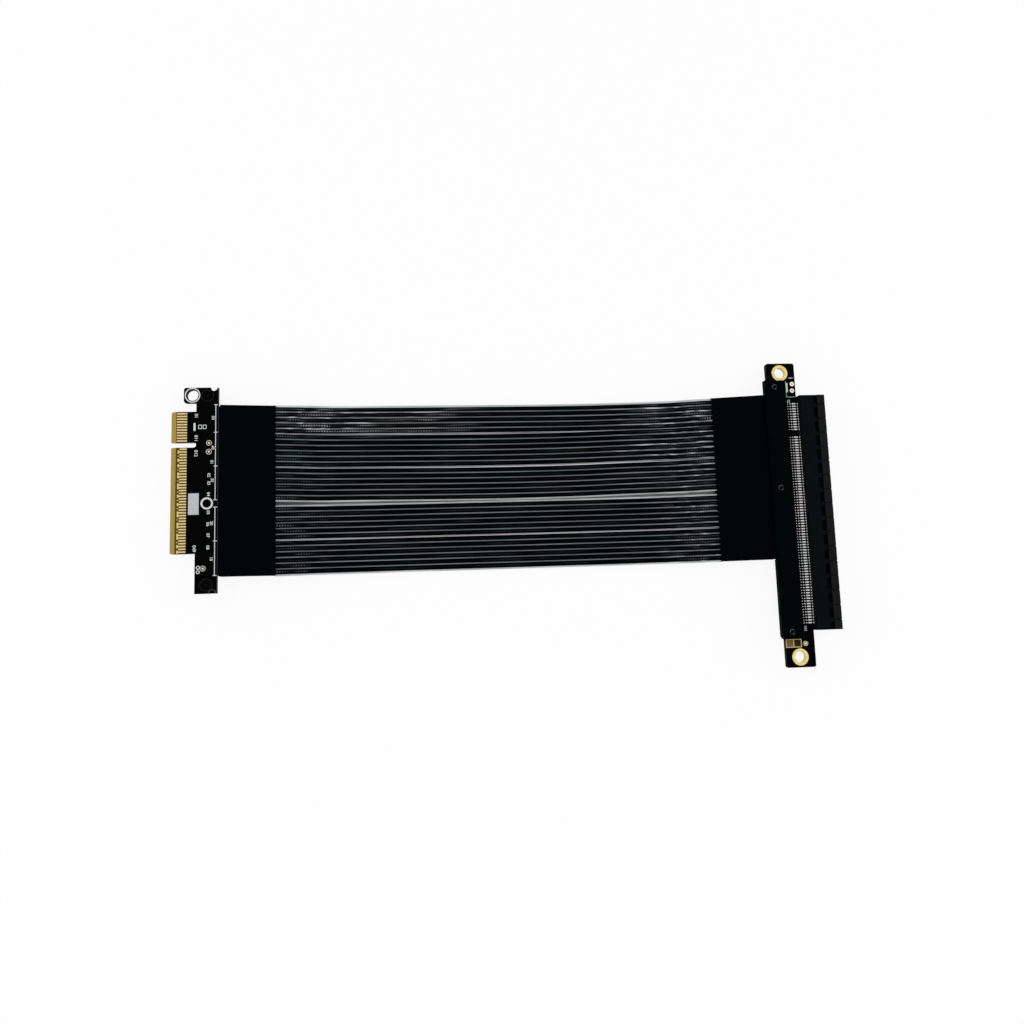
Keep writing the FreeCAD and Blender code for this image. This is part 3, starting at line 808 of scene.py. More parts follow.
class FlatWork:
    """Thin raised shapes on one level face of a board, gathered into one piece.

    The shapes' places and sizes are in millimetres, along X and Y from the origin.
    """

    SEGMENTS = 40
    ROLL_STEPS = 8
    DOME_ROWS = 4
    DOME_TURNS = 10
    # The share of a font's size that a digit is high, and how far its strokes are swollen
    DIGIT_SHARE = 0.72
    DIGIT_SWELL = 0.02

    def __init__(self, name: str, slot: Slot, origin: Vector, thickness: float,
                 face: Layer = Layer.TOP) -> None:
        """Start with nothing.

        Args:
            name: The piece's name.
            slot: The record's slot that its finish belongs to.
            origin: The point on the board's face that places are measured from, in metres.
            thickness: How far the shapes stand up, in millimetres.
            face: The face of the board that they lie on.
        """
        self.name = name
        self.slot = slot
        self.origin = origin
        self.rise = thickness * face.value
        self.mesh = bmesh.new()

    def point(self, x: float, y: float, z: float) -> bmesh.types.BMVert:
        """Add a point at a place in millimetres from the origin."""
        return self.mesh.verts.new(self.origin + Vector((x, y, z)) * MM)

    def band(self, first: Points, second: Points) -> None:
        """Join two rings of points by a band of faces.

        Args:
            first: The points of one ring.
            second: The points of the other, in the same order.
        """
        for index in range(len(first)):
            after = (index + 1) % len(first)
            self.mesh.faces.new((first[index], first[after], second[after], second[index]))

    def stack(self, rings: list[Points]) -> None:
        """Join a row of rings by bands and fill the first and the last.

        Args:
            rings: The rings in order.
        """
        for first, second in zip(rings, rings[1:]):
            self.band(first, second)
        self.mesh.faces.new(rings[0][::-1])
        self.mesh.faces.new(rings[-1])

    def hoop(self, rings: list[Points]) -> None:
        """Join a row of rings by bands, and the last to the first."""
        for first, second in zip(rings, rings[1:] + rings[:1]):
            self.band(first, second)

    def circle(self, x: float, y: float, diameter: float, z: float) -> Points:
        """Add the points of a level circle.

        Args:
            x: Its middle along the board.
            y: Its middle across the board.
            diameter: Its diameter.
            z: Its height.

        Returns:
            The points in order.
        """
        turns = [math.tau * step / self.SEGMENTS for step in range(self.SEGMENTS)]
        radius = diameter / 2
        return [self.point(x + radius * math.cos(turn), y + radius * math.sin(turn), z) for turn in turns]

    def bar(self, left: float, right: float, low: float, high: float) -> None:
        """Raise a rectangle, given by its four sides."""
        corners = (left, low), (right, low), (right, high), (left, high)
        self.stack([[self.point(x, y, z) for x, y in corners] for z in (0.0, self.rise)])

    def frame(self, x: float, y: float, length: float, width: float, line: float) -> None:
        """Raise the four sides of a rectangle.

        Args:
            x: Its middle along the board.
            y: Its middle across the board.
            length: Its size along the board.
            width: Its size across the board.
            line: The width of its sides.
        """
        left, right, low, high = x - length / 2, x + length / 2, y - width / 2, y + width / 2
        self.bar(left, left + line, low, high)
        self.bar(right - line, right, low, high)
        self.bar(left + line, right - line, low, low + line)
        self.bar(left + line, right - line, high - line, high)

    def disc(self, x: float, y: float, diameter: float) -> None:
        """Raise a flat disc, given by its middle and diameter."""
        self.stack([self.circle(x, y, diameter, z) for z in (0.0, self.rise)])

    def ring(self, x: float, y: float, outer: float, inner: float) -> None:
        """Raise a flat ring, given by its middle and two diameters."""
        corners = (outer, 0.0), (outer, self.rise), (inner, self.rise), (inner, 0.0)
        self.hoop([self.circle(x, y, diameter, z) for diameter, z in corners])

    def rolled_ring(self, x: float, y: float, outer: float, inner: float) -> None:
        """Raise a ring with a round back.

        Args:
            x: Its middle along the board.
            y: Its middle across the board.
            outer: Its outer diameter.
            inner: Its inner diameter.
        """
        circles = []
        for step in range(self.ROLL_STEPS + 1):
            turn = math.pi * step / self.ROLL_STEPS
            width = (outer + inner) / 2 + (outer - inner) / 2 * math.cos(turn)
            circles.append(self.circle(x, y, width, self.rise * math.sin(turn) ** 0.5))
        self.hoop(circles)

    def arc(self, x: float, y: float, outer: float, inner: float, start: float, end: float) -> None:
        """Raise a part of a flat ring.

        Args:
            x: The ring's middle along the board.
            y: The ring's middle across the board.
            outer: The ring's outer diameter.
            inner: The ring's inner diameter.
            start: The turn in degrees where the part starts.
            end: The turn in degrees where it ends.
        """
        steps = self.SEGMENTS // 2
        rows = []
        for step in range(steps + 1):
            turn = math.radians(start + (end - start) * step / steps)
            corners = ((outer, 0.0), (outer, self.rise), (inner, self.rise), (inner, 0.0))
            rows.append([self.point(x + width / 2 * math.cos(turn), y + width / 2 * math.sin(turn), z)
                         for width, z in corners])
        self.stack(rows)

    def dome(self, x: float, y: float, length: float, width: float, height: float) -> None:
        """Raise a low dome with a flat foot, such as a bead of solder.

        Args:
            x: Its middle along the board.
            y: Its middle across the board.
            length: Its size along the board.
            width: Its size across the board.
            height: How far it stands up.
        """
        turns = [math.tau * turn / self.DOME_TURNS for turn in range(self.DOME_TURNS)]
        levels = []
        for row in range(self.DOME_ROWS):
            lift = math.pi / 2 * row / self.DOME_ROWS
            reach, z = math.cos(lift) / 2, math.sin(lift) * height * math.copysign(1, self.rise)
            levels.append([self.point(x + length * reach * math.cos(turn),
                                      y + width * reach * math.sin(turn), z) for turn in turns])
        self.stack(levels)

    def number(self, text: str, x: float, y: float, height: float) -> None:
        """Print a plain number that reads downwards, with its top towards +X.

        Args:
            text: The digits.
            x: The middle of the number along the board.
            y: The middle of the number across the board.
            height: The digits' height.
        """
        curve = bpy.data.curves.new("digits", "FONT")
        curve.body = text
        curve.size = height / self.DIGIT_SHARE
        curve.align_x = curve.align_y = "CENTER"
        curve.offset = self.DIGIT_SWELL
        curve.extrude = abs(self.rise) / 2
        letters = bpy.data.objects.new("digits", curve)
        mesh = bpy.data.meshes.new_from_object(letters)
        turn = Matrix.Rotation(-math.pi / 2, 4, "Z")
        lift = Matrix.Translation(self.origin + Vector((x, y, self.rise / 2)) * MM)
        mesh.transform(lift @ Matrix.Scale(MM, 4) @ turn)
        self.mesh.from_mesh(mesh)
        bpy.data.objects.remove(letters)
        bpy.data.curves.remove(curve)
        bpy.data.meshes.remove(mesh)

    def done(self, material: bpy.types.Material) -> bpy.types.Object:
        """Turn the shapes into a piece.

        Args:
            material: The piece's finish.

        Returns:
            The piece.
        """
        bmesh.ops.recalc_face_normals(self.mesh, faces=self.mesh.faces)
        mesh = bpy.data.meshes.new(self.name)
        self.mesh.to_mesh(mesh)
        self.mesh.free()
        return add_piece(self.name, mesh, self.slot, material)


def loft(name: str, rings: list[list[Vector]], closed_ends: bool = True) -> bpy.types.Mesh:
    """Skin a row of closed rings that have the same number of points.

    Args:
        name: The mesh's name.
        rings: The rings in order.
        closed_ends: Whether the first and last ring are filled.

    Returns:
        The new mesh, with the faces between two rings in the order of the rings' points.
    """
    size = len(rings[0])
    points = [point for ring in rings for point in ring]
    faces = []
    for row in range(len(rings) - 1):
        for step in range(size):
            after = (step + 1) % size
            faces.append((row * size + step, row * size + after,
                          (row + 1) * size + after, (row + 1) * size + step))
    if closed_ends:
        faces.append(tuple(range(size))[::-1])
        faces.append(tuple(range(len(points) - size, len(points))))
    mesh = bpy.data.meshes.new(name)
    mesh.from_pydata(points, [], faces)
    mesh.update()
    return mesh


@dataclass
class PhotoCamera:
    """The camera, where the photograph was taken from."""

    place: Vector = field(default_factory=lambda: Vector((-21.875, -31.05, 295.06)) * MM)
    turn: Vector = field(default_factory=lambda: Vector((-0.11659, 0.07583, 0.02943)))
    focal_pixels: float = 800.0
    image_width: int = 1024
    sensor: float = 36.0
    nearest: float = 0.01

    def build(self) -> None:
        """Make the camera and look through it."""
        data = bpy.data.cameras.new("photo_camera")
        data.sensor_width = self.sensor
        data.lens = self.focal_pixels * self.sensor / self.image_width
        data.clip_start = self.nearest
        camera = bpy.data.objects.new("photo_camera", data)
        turned = Quaternion(self.turn.normalized(), self.turn.length).inverted()
        camera.matrix_world = Matrix.LocRotScale(self.place, turned, None)
        bpy.context.scene.collection.objects.link(camera)
        bpy.context.scene.camera = camera


@dataclass
class SoftBox:
    """One large soft lamp, with its place, aim and width in metres."""

    name: str
    place: Triple
    aim: Triple
    width: float
    watts: float

    def build(self) -> None:
        """Hang the lamp and aim it."""
        data = bpy.data.lights.new(self.name, "AREA")
        data.shape = "SQUARE"
        data.size = self.width
        data.energy = self.watts
        lamp = bpy.data.objects.new(self.name, data)
        lamp.location = self.place
        towards = Vector(self.aim) - Vector(self.place)
        lamp.rotation_mode = "QUATERNION"
        lamp.rotation_quaternion = towards.to_track_quat("-Z", "Y")
        bpy.context.scene.collection.objects.link(lamp)


@dataclass
class Studio:
    """Pale floor, soft lamps and a dim room."""

    floor_size: float = 6.0
    floor_white: float = 0.95
    floor_roughness: float = 0.9
    floor_glow: float = 0.9
    room_light: float = 0.62
    lamps: tuple[SoftBox, ...] = (
        SoftBox("left_softbox", (-0.95, 0.35, 0.55), (-0.08, 0.02, 0.0), 0.5, 3.0),
        SoftBox("right_softbox", (0.98, 0.3, 0.55), (0.08, 0.0, 0.0), 0.5, 3.0),
        SoftBox("front_softbox", (0.0, -0.95, 0.55), (0.0, 0.0, 0.0), 0.6, 2.5),
    )

    def build(self) -> None:
        """Build the room, the floor and the lamps."""
        self.build_room()
        self.build_floor()
        for lamp in self.lamps:
            lamp.build()
        bpy.context.scene.view_settings.view_transform = "Standard"

    def build_room(self) -> None:
        """Make the room dim for the object and white for the camera."""
        world = bpy.data.worlds.new("room")
        world.use_nodes = True
        bpy.context.scene.world = world
        tree = world.node_tree
        room = tree.nodes["Background"]
        room.inputs["Strength"].default_value = self.room_light
        white = tree.nodes.new("ShaderNodeBackground")
        for light in (room, white):
            light.inputs["Color"].default_value = (1.0, 1.0, 1.0, 1.0)
        seen = tree.nodes.new("ShaderNodeLightPath")
        both = tree.nodes.new("ShaderNodeMixShader")
        tree.links.new(seen.outputs["Is Camera Ray"], both.inputs[0])
        tree.links.new(room.outputs[0], both.inputs[1])
        tree.links.new(white.outputs[0], both.inputs[2])
        tree.links.new(both.outputs[0], tree.nodes["World Output"].inputs[0])

    def build_floor(self) -> None:
        """Lay the floor, whose glow for the camera keeps part of the shadow."""
        half = self.floor_size / 2
        mesh = bpy.data.meshes.new("floor")
        corners = [(-half, -half, 0.0), (half, -half, 0.0), (half, half, 0.0), (-half, half, 0.0)]
        mesh.from_pydata(corners, [], [(0, 1, 2, 3)])
        floor = bpy.data.objects.new("floor", mesh)
        bpy.context.scene.collection.objects.link(floor)
        graph = Graph("pale_floor")
        graph.feed(graph.shader.inputs["Base Color"], (self.floor_white,) * 3)
        graph.feed(graph.shader.inputs["Roughness"], self.floor_roughness)
        graph.feed(graph.shader.inputs["Specular IOR Level"], 0.0)
        glow = graph.node("Emission")
        seen = graph.node("LightPath")
        looked_at = graph.math("MAXIMUM", seen.outputs["Is Camera Ray"],
                               graph.math("MAXIMUM", seen.outputs["Is Glossy Ray"],
                                          seen.outputs["Is Transmission Ray"]))
        both = graph.node("MixShader")
        graph.feed(both.inputs[0], graph.math("MULTIPLY", looked_at, self.floor_glow))
        graph.feed(both.inputs[1], graph.shader.outputs[0])
        graph.feed(both.inputs[2], glow.outputs[0])
        graph.feed(graph.tree.nodes["Material Output"].inputs[0], both.outputs[0])
        mesh.materials.append(graph.material)


@dataclass(frozen=True)
class Ribbon:
    """One ribbon: its number from contact one, its lobes, how it lies to the side, and the film beside it.

    The sway is a share of the route's sway. The shifts at its two ends and the film's widths are in mm.
    """

    number: int
    lobes: int
    sway: float
    left_shift: float = 0.0
    right_shift: float = 0.0
    film_above: float = 0.2
    film_below: float = 0.2
    reach_above: float = 0.0
    reach_below: float = 0.0
    lower_reach_above: float = 0.0
    lower_reach_below: float = 0.0
    film_lift: float = 0.0


@dataclass
class RibbonCable:
    """Two layers of flat ribbons that run from board to board and sag to the table between the tapes."""

    palette: Palette
    ribbons: tuple[Ribbon, ...] = (
        Ribbon(1, 5, 0.85, -0.45, -0.33, film_above=0.3, reach_above=0.45),
        Ribbon(2, 6, 1.0, -0.2, 0.08),
        Ribbon(3, 6, 1.15, -0.12, 0.0, film_below=0.3, reach_below=0.25, lower_reach_below=0.65),
        Ribbon(4, 6, 0.15, -0.33, 0.0, film_above=0.3, reach_above=0.25, lower_reach_above=0.65,
               film_lift=0.1),
        Ribbon(5, 6, 0.12, -0.33, 0.0, film_below=0.1, reach_below=0.4),
    )
    # Control points: place along in mm, share of the fall, sway in mm, share of the end's shift
    route: tuple[Quad, ...] = (
        (-103.3, 0.0, 0.0, -1.0), (-97.0, 0.0, 0.0, -1.0), (-90.0, 0.0, 0.0, -1.0),
        (-84.0, 0.0, -0.05, -1.0), (-78.0, 0.12, -0.2, -0.85), (-70.0, 0.55, -0.38, -0.45),
        (-60.0, 0.9, -0.35, -0.3),
        (-48.0, 1.0, -0.42, -0.2), (-25.0, 1.0, -0.75, 0.0), (0.0, 1.0, -0.92, 0.0), (25.0, 1.0, -0.82, 0.6),
        (43.0, 1.0, -0.38, 1.0), (55.0, 0.9, -0.26, 1.0), (65.0, 0.55, -0.25, 1.0), (73.0, 0.12, -0.1, 1.0),
        (79.0, 0.0, 0.0, 1.0), (86.0, 0.0, 0.0, 1.0), (94.0, 0.0, 0.0, 1.0), (104.7, 0.0, 0.0, 1.0),
    )
    falls: dict[Layer, float] = field(default_factory=lambda: {Layer.TOP: 3.35, Layer.BOTTOM: 1.82})
    lobe_pitch: float = 2.04
    lobe_height: float = 1.0
    web_width: float = 0.4
    web_thickness: float = 0.2
    film_thickness: float = 0.08
    curve_steps: int = 6
    curve_order: int = 3
    # How far under a tape the film beside the lobes still stands out
    tuck: float = 1.2
    # Places across half a lobe where its outline has points, as shares of its half width
    lobe_stops: tuple[float, ...] = (1.0, 0.93, 0.78, 0.5, 0.0)
    # How square a lobe's outline is, and the shares that make one lobe, a little over 2 to keep lobes apart
    lobe_power: int = 4
    lobe_span: float = 2.02

    def build(self) -> None:
        """Lay every ribbon of both layers."""
        for layer in Layer:
            for ribbon in self.ribbons:
                self.lay(ribbon, layer)

    def line(self, ribbon: Ribbon, layer: Layer) -> list[Vector]:
        """Read the ribbon's centre line from its smooth route.

        Args:
            ribbon: The ribbon.
            layer: The layer it lies in.

        Returns:
            The points of the line, in metres.
        """
        low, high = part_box(f"ribbon_{layer.word}_{ribbon.number}")
        middle = (low + high) / 2
        curve = bpy.data.curves.new("route", "CURVE")
        curve.dimensions = "3D"
        curve.resolution_u = self.curve_steps
        spline = curve.splines.new("NURBS")
        spline.points.add(len(self.route) - 1)
        for point, (x, fall, sway, end) in zip(spline.points, self.route):
            shift = abs(end) * (ribbon.left_shift if end < 0 else ribbon.right_shift)
            y = middle.y + (ribbon.sway * sway + shift) * MM
            z = middle.z - self.falls[layer] * fall * MM
            point.co = (x * MM, y, z, 1.0)
        spline.order_u = self.curve_order
        spline.use_endpoint_u = True
        route = bpy.data.objects.new("route", curve)
        mesh = bpy.data.meshes.new_from_object(route)
        points = [vertex.co.copy() for vertex in mesh.vertices]
        bpy.data.objects.remove(route)
        bpy.data.curves.remove(curve)
        bpy.data.meshes.remove(mesh)
        return points

    def section(self, ribbon: Ribbon, layer: Layer) -> list[Triple]:
        """Outline of a ribbon across its middle.

        Args:
            ribbon: The ribbon.
            layer: The layer it lies in.

        Returns:
            Points in order round the ribbon: place across and height in mm, and the place in lobes,
            which is negative on the film beside the lobes.
        """
        half = self.lobe_pitch * ribbon.lobes / 2
        web, film = self.web_thickness / 2, self.film_thickness / 2
        reach_above, reach_below = ribbon.reach_above, ribbon.reach_below
        if layer is Layer.BOTTOM:
            reach_above += ribbon.lower_reach_above
            reach_below += ribbon.lower_reach_below
        stops = [*self.lobe_stops, *(-stop for stop in reversed(self.lobe_stops[:-1]))]
        upper = [(half + reach_above, film, -1.0)]
        for lobe in range(ribbon.lobes):
            top = half - self.lobe_pitch * lobe - self.web_width / 2
            bottom = half - self.lobe_pitch * (lobe + 1) + self.web_width / 2
            if lobe == 0:
                top = half - ribbon.film_above
            if lobe == ribbon.lobes - 1:
                bottom = ribbon.film_below - half
            middle, reach = (top + bottom) / 2, (top - bottom) / 2
            for stop in stops:
                rise = (self.lobe_height / 2 - web) * math.sqrt(1 - stop ** self.lobe_power)
                upper.append((middle + stop * reach, web + rise, lobe + 0.5 - stop / self.lobe_span))
        upper.append((-half - reach_below, film, -1.0))
        ring = upper + [(y, -z, place) for y, z, place in reversed(upper)]
        return [(y, z + ribbon.film_lift if place < 0 else z, place) for y, z, place in ring]

    def lay(self, ribbon: Ribbon, layer: Layer) -> None:
        """Args:
            ribbon: The ribbon.
            layer: The layer it lies in.
        """
        name = f"ribbon_{layer.word}_{ribbon.number}"
        line = self.line(ribbon, layer)
        section = self.section(ribbon, layer)
        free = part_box("edge_tape")[1].x - self.tuck * MM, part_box("slot_tape")[0].x + self.tuck * MM
        half = self.lobe_pitch * ribbon.lobes / 2
        rings, marks, run = [], [], 0.0
        for index, point in enumerate(line):
            before, after = line[max(index - 1, 0)], line[min(index + 1, len(line) - 1)]
            ahead = (after - before).normalized()
            across = Vector((0.0, 0.0, 1.0)).cross(ahead).normalized()
            up = ahead.cross(across)
            limit = math.inf if free[0] < point.x < free[1] else half
            rings.append([point + (across * max(-limit, min(limit, y)) + up * z) * MM
                          for y, z, _ in section])
            run += (point - before).length / MM
            marks.append(run)
        mesh = loft(f"{name}_mesh", rings)
        self.mark_faces(mesh, section, marks)
        edge = self.palette.margin if layer is Layer.TOP else self.palette.film
        piece = add_piece(f"{name}_laid", mesh, Slot.RIBBON, self.palette.jacket, self.palette.web, edge)
        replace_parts(piece, name)

    def mark_faces(self, mesh: bpy.types.Mesh, section: list[Triple], marks: list[float]) -> None:
        """Give each face its finish and its place along and across the ribbon.

        Args:
            mesh: The ribbon's mesh.
            section: The outline that it was made from.
            marks: How far along the ribbon each ring lies, in mm.
        """
        size = len(section)
        sheet = mesh.uv_layers.new(name="ribbon", do_init=False)
        for number, face in enumerate(mesh.polygons):
            row, step = divmod(number, size)
            if row >= len(marks) - 1:
                continue
            places = (section[step][2], section[(step + 1) % size][2])
            kind = RibbonFace.LOBE
            if min(places) < 0:
                kind = RibbonFace.FILM
            elif int(places[0]) != int(places[1]):
                kind = RibbonFace.WEB
            face.material_index = kind.value
            face.use_smooth = True
            corners = ((row, 0), (row, 1), (row + 1, 1), (row + 1, 0))
            for loop, (ring, side) in zip(face.loop_indices, corners):
                sheet.data[loop].uv = (marks[ring], places[side])


@dataclass
class TapeWrap:
    """Cloth tape wound once round both layers of ribbons, over soft humps and with a lapped end below."""

    palette: Palette
    node: str
    # How far the tape's upper and lower edge stand inside the solid, at its left and its right end, in mm
    upper_inset: Pair
    lower_inset: Pair
    ribbons: int = 5
    sink: float = 0.06
    thickness: float = 0.2
    corner: float = 0.3
    lap: Pair = (2.0, 22.0)
    lap_rise: float = 0.08
    # How flat the tape lies over a ribbon, and how square it turns at the sides
    hump_power: int = 6
    corner_power: float = 0.35
    flat_points: int = 90
    corner_steps: int = 10
    rows: int = 14
    # Points nearer than this, in metres, are one
    weld: float = 1e-7
    # The boxes of the ribbons that it lies over, in metres
    humps: list[tuple[Vector, Vector]] = field(init=False)

    def __post_init__(self) -> None:
        """Look up the ribbons that the tape lies over."""
        self.humps = [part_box(f"ribbon_top_{number}") for number in range(1, self.ribbons + 1)]

    def build(self) -> None:
        """Make the wrap in the place of its solid."""
        low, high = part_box(self.node)
        rows = [(row / self.rows, 0.0) for row in range(self.rows + 1)]
        rows += [(share, self.thickness) for share, _ in reversed(rows)]
        rings = []
        for share, inset in rows:
            x = low.x + (high.x - low.x) * share
            upper, lower = (left + (right - left) * share
                            for left, right in (self.upper_inset, self.lower_inset))
            leaning = (low / MM + Vector((0.0, lower, 0.0)), high / MM - Vector((0.0, upper, 0.0)))
            rings.append([Vector((x, y * MM, z * MM)) for y, z in self.ring(*leaning, inset)])
        rings.append(rings[0])
        mesh = loft(f"{self.node}_mesh", rings, closed_ends=False)
        cleaner = bmesh.new()
        cleaner.from_mesh(mesh)
        bmesh.ops.remove_doubles(cleaner, verts=cleaner.verts, dist=self.weld)
        bmesh.ops.recalc_face_normals(cleaner, faces=cleaner.faces)
        cleaner.to_mesh(mesh)
        cleaner.free()
        piece = add_piece(f"{self.node}_wrap", mesh, Slot.TAPE, self.palette.tape)
        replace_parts(piece, self.node)

    def hump(self, y: float) -> float:
        """Work out how far the tape sinks between ribbons.

        Args:
            y: The place across, in mm.

        Returns:
            How far it sinks there, in mm.
        """
        for low, high in self.humps:
            if low.y <= y * MM <= high.y:
                share = (y * MM - low.y) / (high.y - low.y) * 2 - 1
                return self.sink * share ** self.hump_power
        return self.sink

    def ring(self, low: Vector, high: Vector, inset: float) -> list[Pair]:
        """Points round the tape in one plane across the cable.

        Args:
            low: The lowest corner of the tape there, in mm.
            high: Its highest corner, in mm.
            inset: How far inside the tape's outer face the ring lies, in mm.

        Returns:
            Pairs of place across and height, in mm.
        """
        left, right = low.y + inset, high.y - inset
        bottom, top = low.z + inset, high.z - inset
        radius = self.corner - inset / 2
        points = []
        for side, level in ((1, top), (-1, bottom)):
            for step in range(self.flat_points + 1):
                share = step / self.flat_points
                y = right - radius - (right - left - 2 * radius) * (share if side > 0 else 1 - share)
                lapped = side < 0 and self.lap[0] < y < self.lap[1] and not inset
                sunk = self.hump(y) - (self.lap_rise if lapped else 0.0)
                points.append((y, level - side * sunk))
            for step in range(1, self.corner_steps):
                turn = math.pi * step / self.corner_steps
                flat = math.cos(turn) * side
                reach = math.sin(turn) * radius
                middle = (left + radius) if side > 0 else (right - radius)
                squeeze = (top - bottom) / 2 - self.hump(middle)
                z = (top + bottom) / 2 + math.copysign(abs(flat) ** self.corner_power, flat) * squeeze
                points.append((middle - side * reach, z))
        return points


@dataclass
class EdgeBoard:
    """Card edge board: finishes, plating beside the fingers, print, test dots and marks of the pegs.

    Sizes are in mm. Print is placed from the tab's tip and the slot's key, leads from the tab's own key.
    A bar is given by its left, right, low and high side, a ring by its outer and inner diameter.
    """

    palette: Palette
    ground: Pair = (1.8, 5.93)
    mask_lip: Pair = (5.66, 5.96)
    lead: Pair = (2.06, 3.2)
    dash: Pair = (2.46, 2.94)
    dash_reach: float = 0.55
    # Fingers below the key that are joined by a dash, first and last, and the fingers that a spot follows
    joined: tuple[tuple[int, int], ...] = (
        (1, 1), (4, 4), (6, 6), (9, 10), (13, 14), (17, 17), (20, 20), (23, 24), (27, 28), (31, 32),
        (35, 35), (37, 37))
    spots: tuple[int, ...] = (2, 7, 11, 15, 18, 21, 25, 29, 33)
    spot_size: float = 0.36
    ground_rise: float = 0.01
    lead_rise: float = 0.06
    ink_rise: float = 0.02
    line_x: float = 15.68
    line_width: float = 0.28
    tick: Pair = (15.1, 16.42)
    ticks: tuple[tuple[float, ...], ...] = ((14.36, 4.2, -8.15, -20.4), (-23.0, -35.13, -47.4))
    # A painted highlight along the board's right edge by the tape: its left, right, low and high side
    edge_highlight: Quad = (16.47, 16.75, -47.9, 13.6)
    notch: Pair = (14.95, -53.74)
    # A painted highlight on the notch's rim, where its laminate wall shows: two diameters and two turns in
    # degrees
    notch_highlight: Quad = (2.85, 2.55, 12.0, 168.0)
    dots: tuple[Pair, ...] = ((13.37, 0.33), (13.32, -2.86), (11.61, -44.83))
    dot_ring: Pair = (1.95, 1.6)
    dot_size: float = 0.8
    dot_rise: float = 0.04
    ear_hole: Pair = (7.4, 18.0)
    ear_ring: Pair = (5.45, 4.7)
    stakes: tuple[Pair, ...] = ((12.95, 17.7), (12.95, -50.64))
    stake_height: float = 0.5
    stake_ring: Pair = (4.38, 4.16)
    stake_dot: float = 0.35
    stake_mark_rise: float = 0.03
    # The eyelet's rim: its middle from the middle of its solid, and its two diameters
    eyelet: Quad = (-0.13, 0.08, 4.4, 3.05)
    first_bar: Quad = (7.9, 8.6, 4.86, 7.7)
    label_block: Quad = (6.31, 10.01, -25.6, -17.9)
    small_squares: tuple[Pair, ...] = ((10.2, 6.28), (11.8, 6.28))
    # A small square's length, width and line
    small_square: Triple = (1.3, 1.5, 0.2)
    small_rings: tuple[Pair, ...] = ((9.97, -44.5), (9.97, -46.05))
    small_ring: Pair = (1.35, 0.8)
    pin_height: float = 1.15
    pin_numbers: tuple[tuple[str, float, float], ...] = (
        ("01", 8.8, 10.34), ("011", 8.8, 2.1), ("012", 8.8, -3.4), ("049", 8.54, -37.71))
    # The numbers of the lanes, then those of the groups
    number_height: float = 1.05
    numbers: tuple[tuple[str, float, float], ...] = (
        ("01", 14.4, -6.7), ("02", 13.4, -11.4), ("03", 13.4, -14.3), ("04", 13.31, -18.3),
        ("05", 13.31, -24.85), ("06", 13.2, -29.1), ("07", 13.31, -33.08), ("08", 13.27, -37.37),
        ("50", 14.75, 9.58), ("40", 14.7, -1.4), ("30", 14.6, -13.2), ("20", 14.5, -28.75),
        ("10", 14.5, -41.45))

    def origin(self, row: ContactRow) -> Vector:
        """The point that places are measured from, on the upper face at the tab's tip and a row's key."""
        low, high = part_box("edge_board")
        return Vector((low.x, row.key(), high.z))

    def build(self) -> None:
        """Dress the board's solids and add what is printed and plated on it."""
        dress(self.palette.edge_board, "edge_board")
        dress(self.palette.finger, "edge_contacts_top", "edge_contacts_bottom")
        dress(self.palette.stake, "edge_cover")
        self.roll_eyelet()
        self.print_white()
        self.print_other_tones()
        self.plate_leads()
        self.plate_dots()
        self.mark_stakes()

    def roll_eyelet(self) -> None:
        """Roll the eyelet's rim in the place of its plain ring."""
        low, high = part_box("edge_eyelet")
        middle = (low + high) / 2
        foot = Vector((middle.x, middle.y, low.z))
        rim = FlatWork("edge_eyelet_rim", Slot.TIN, foot, (high.z - low.z) / MM)
        rim.rolled_ring(*self.eyelet)
        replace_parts(rim.done(self.palette.tin), "edge_eyelet")

    def print_white(self) -> None:
        """Print the bracket lines, plain numbers, a bar, squares and rings."""
        ink = FlatWork("edge_board_print", Slot.BOARD, self.origin(TAILS), self.ink_rise)
        half = self.line_width / 2
        for ticks in self.ticks:
            ink.bar(self.line_x - half, self.line_x + half, ticks[-1] - half, ticks[0] + half)
            for y in ticks:
                ink.bar(self.tick[0], self.line_x - half, y - half, y + half)
                ink.bar(self.line_x + half, self.tick[1], y - half, y + half)
        ink.bar(*self.first_bar)
        ink.ring(*self.ear_hole, *self.ear_ring)
        for dot in self.dots:
            ink.ring(*dot, *self.dot_ring)
        for ring in self.small_rings:
            ink.ring(*ring, *self.small_ring)
        for square in self.small_squares:
            ink.frame(*square, *self.small_square)
        for numbers, height in ((self.pin_numbers, self.pin_height), (self.numbers, self.number_height)):
            for number in numbers:
                ink.number(*number, height)
        ink.done(self.palette.ink)

    def print_other_tones(self) -> None:
        """Print the label's block in grey, and a painted highlight along the board's right edge and on the
        notch's rim in fainter tones.
        """
        block = FlatWork("edge_board_label_block", Slot.BOARD, self.origin(TAILS), self.ink_rise)
        block.bar(*self.label_block)
        block.done(self.palette.grey_ink)
        # A painted highlight along the board's right edge
        faint = FlatWork("edge_board_edge_highlight", Slot.BOARD, self.origin(TAILS), self.ink_rise)
        faint.bar(*self.edge_highlight)
        faint.done(self.palette.faint_ink_and_highlight)
        # A painted highlight on the notch's rim
        rim = FlatWork("edge_board_notch_rim", Slot.BOARD, self.origin(TAILS), self.ink_rise)
        rim.arc(*self.notch, *self.notch_highlight)
        rim.done(self.palette.highlight_ink)

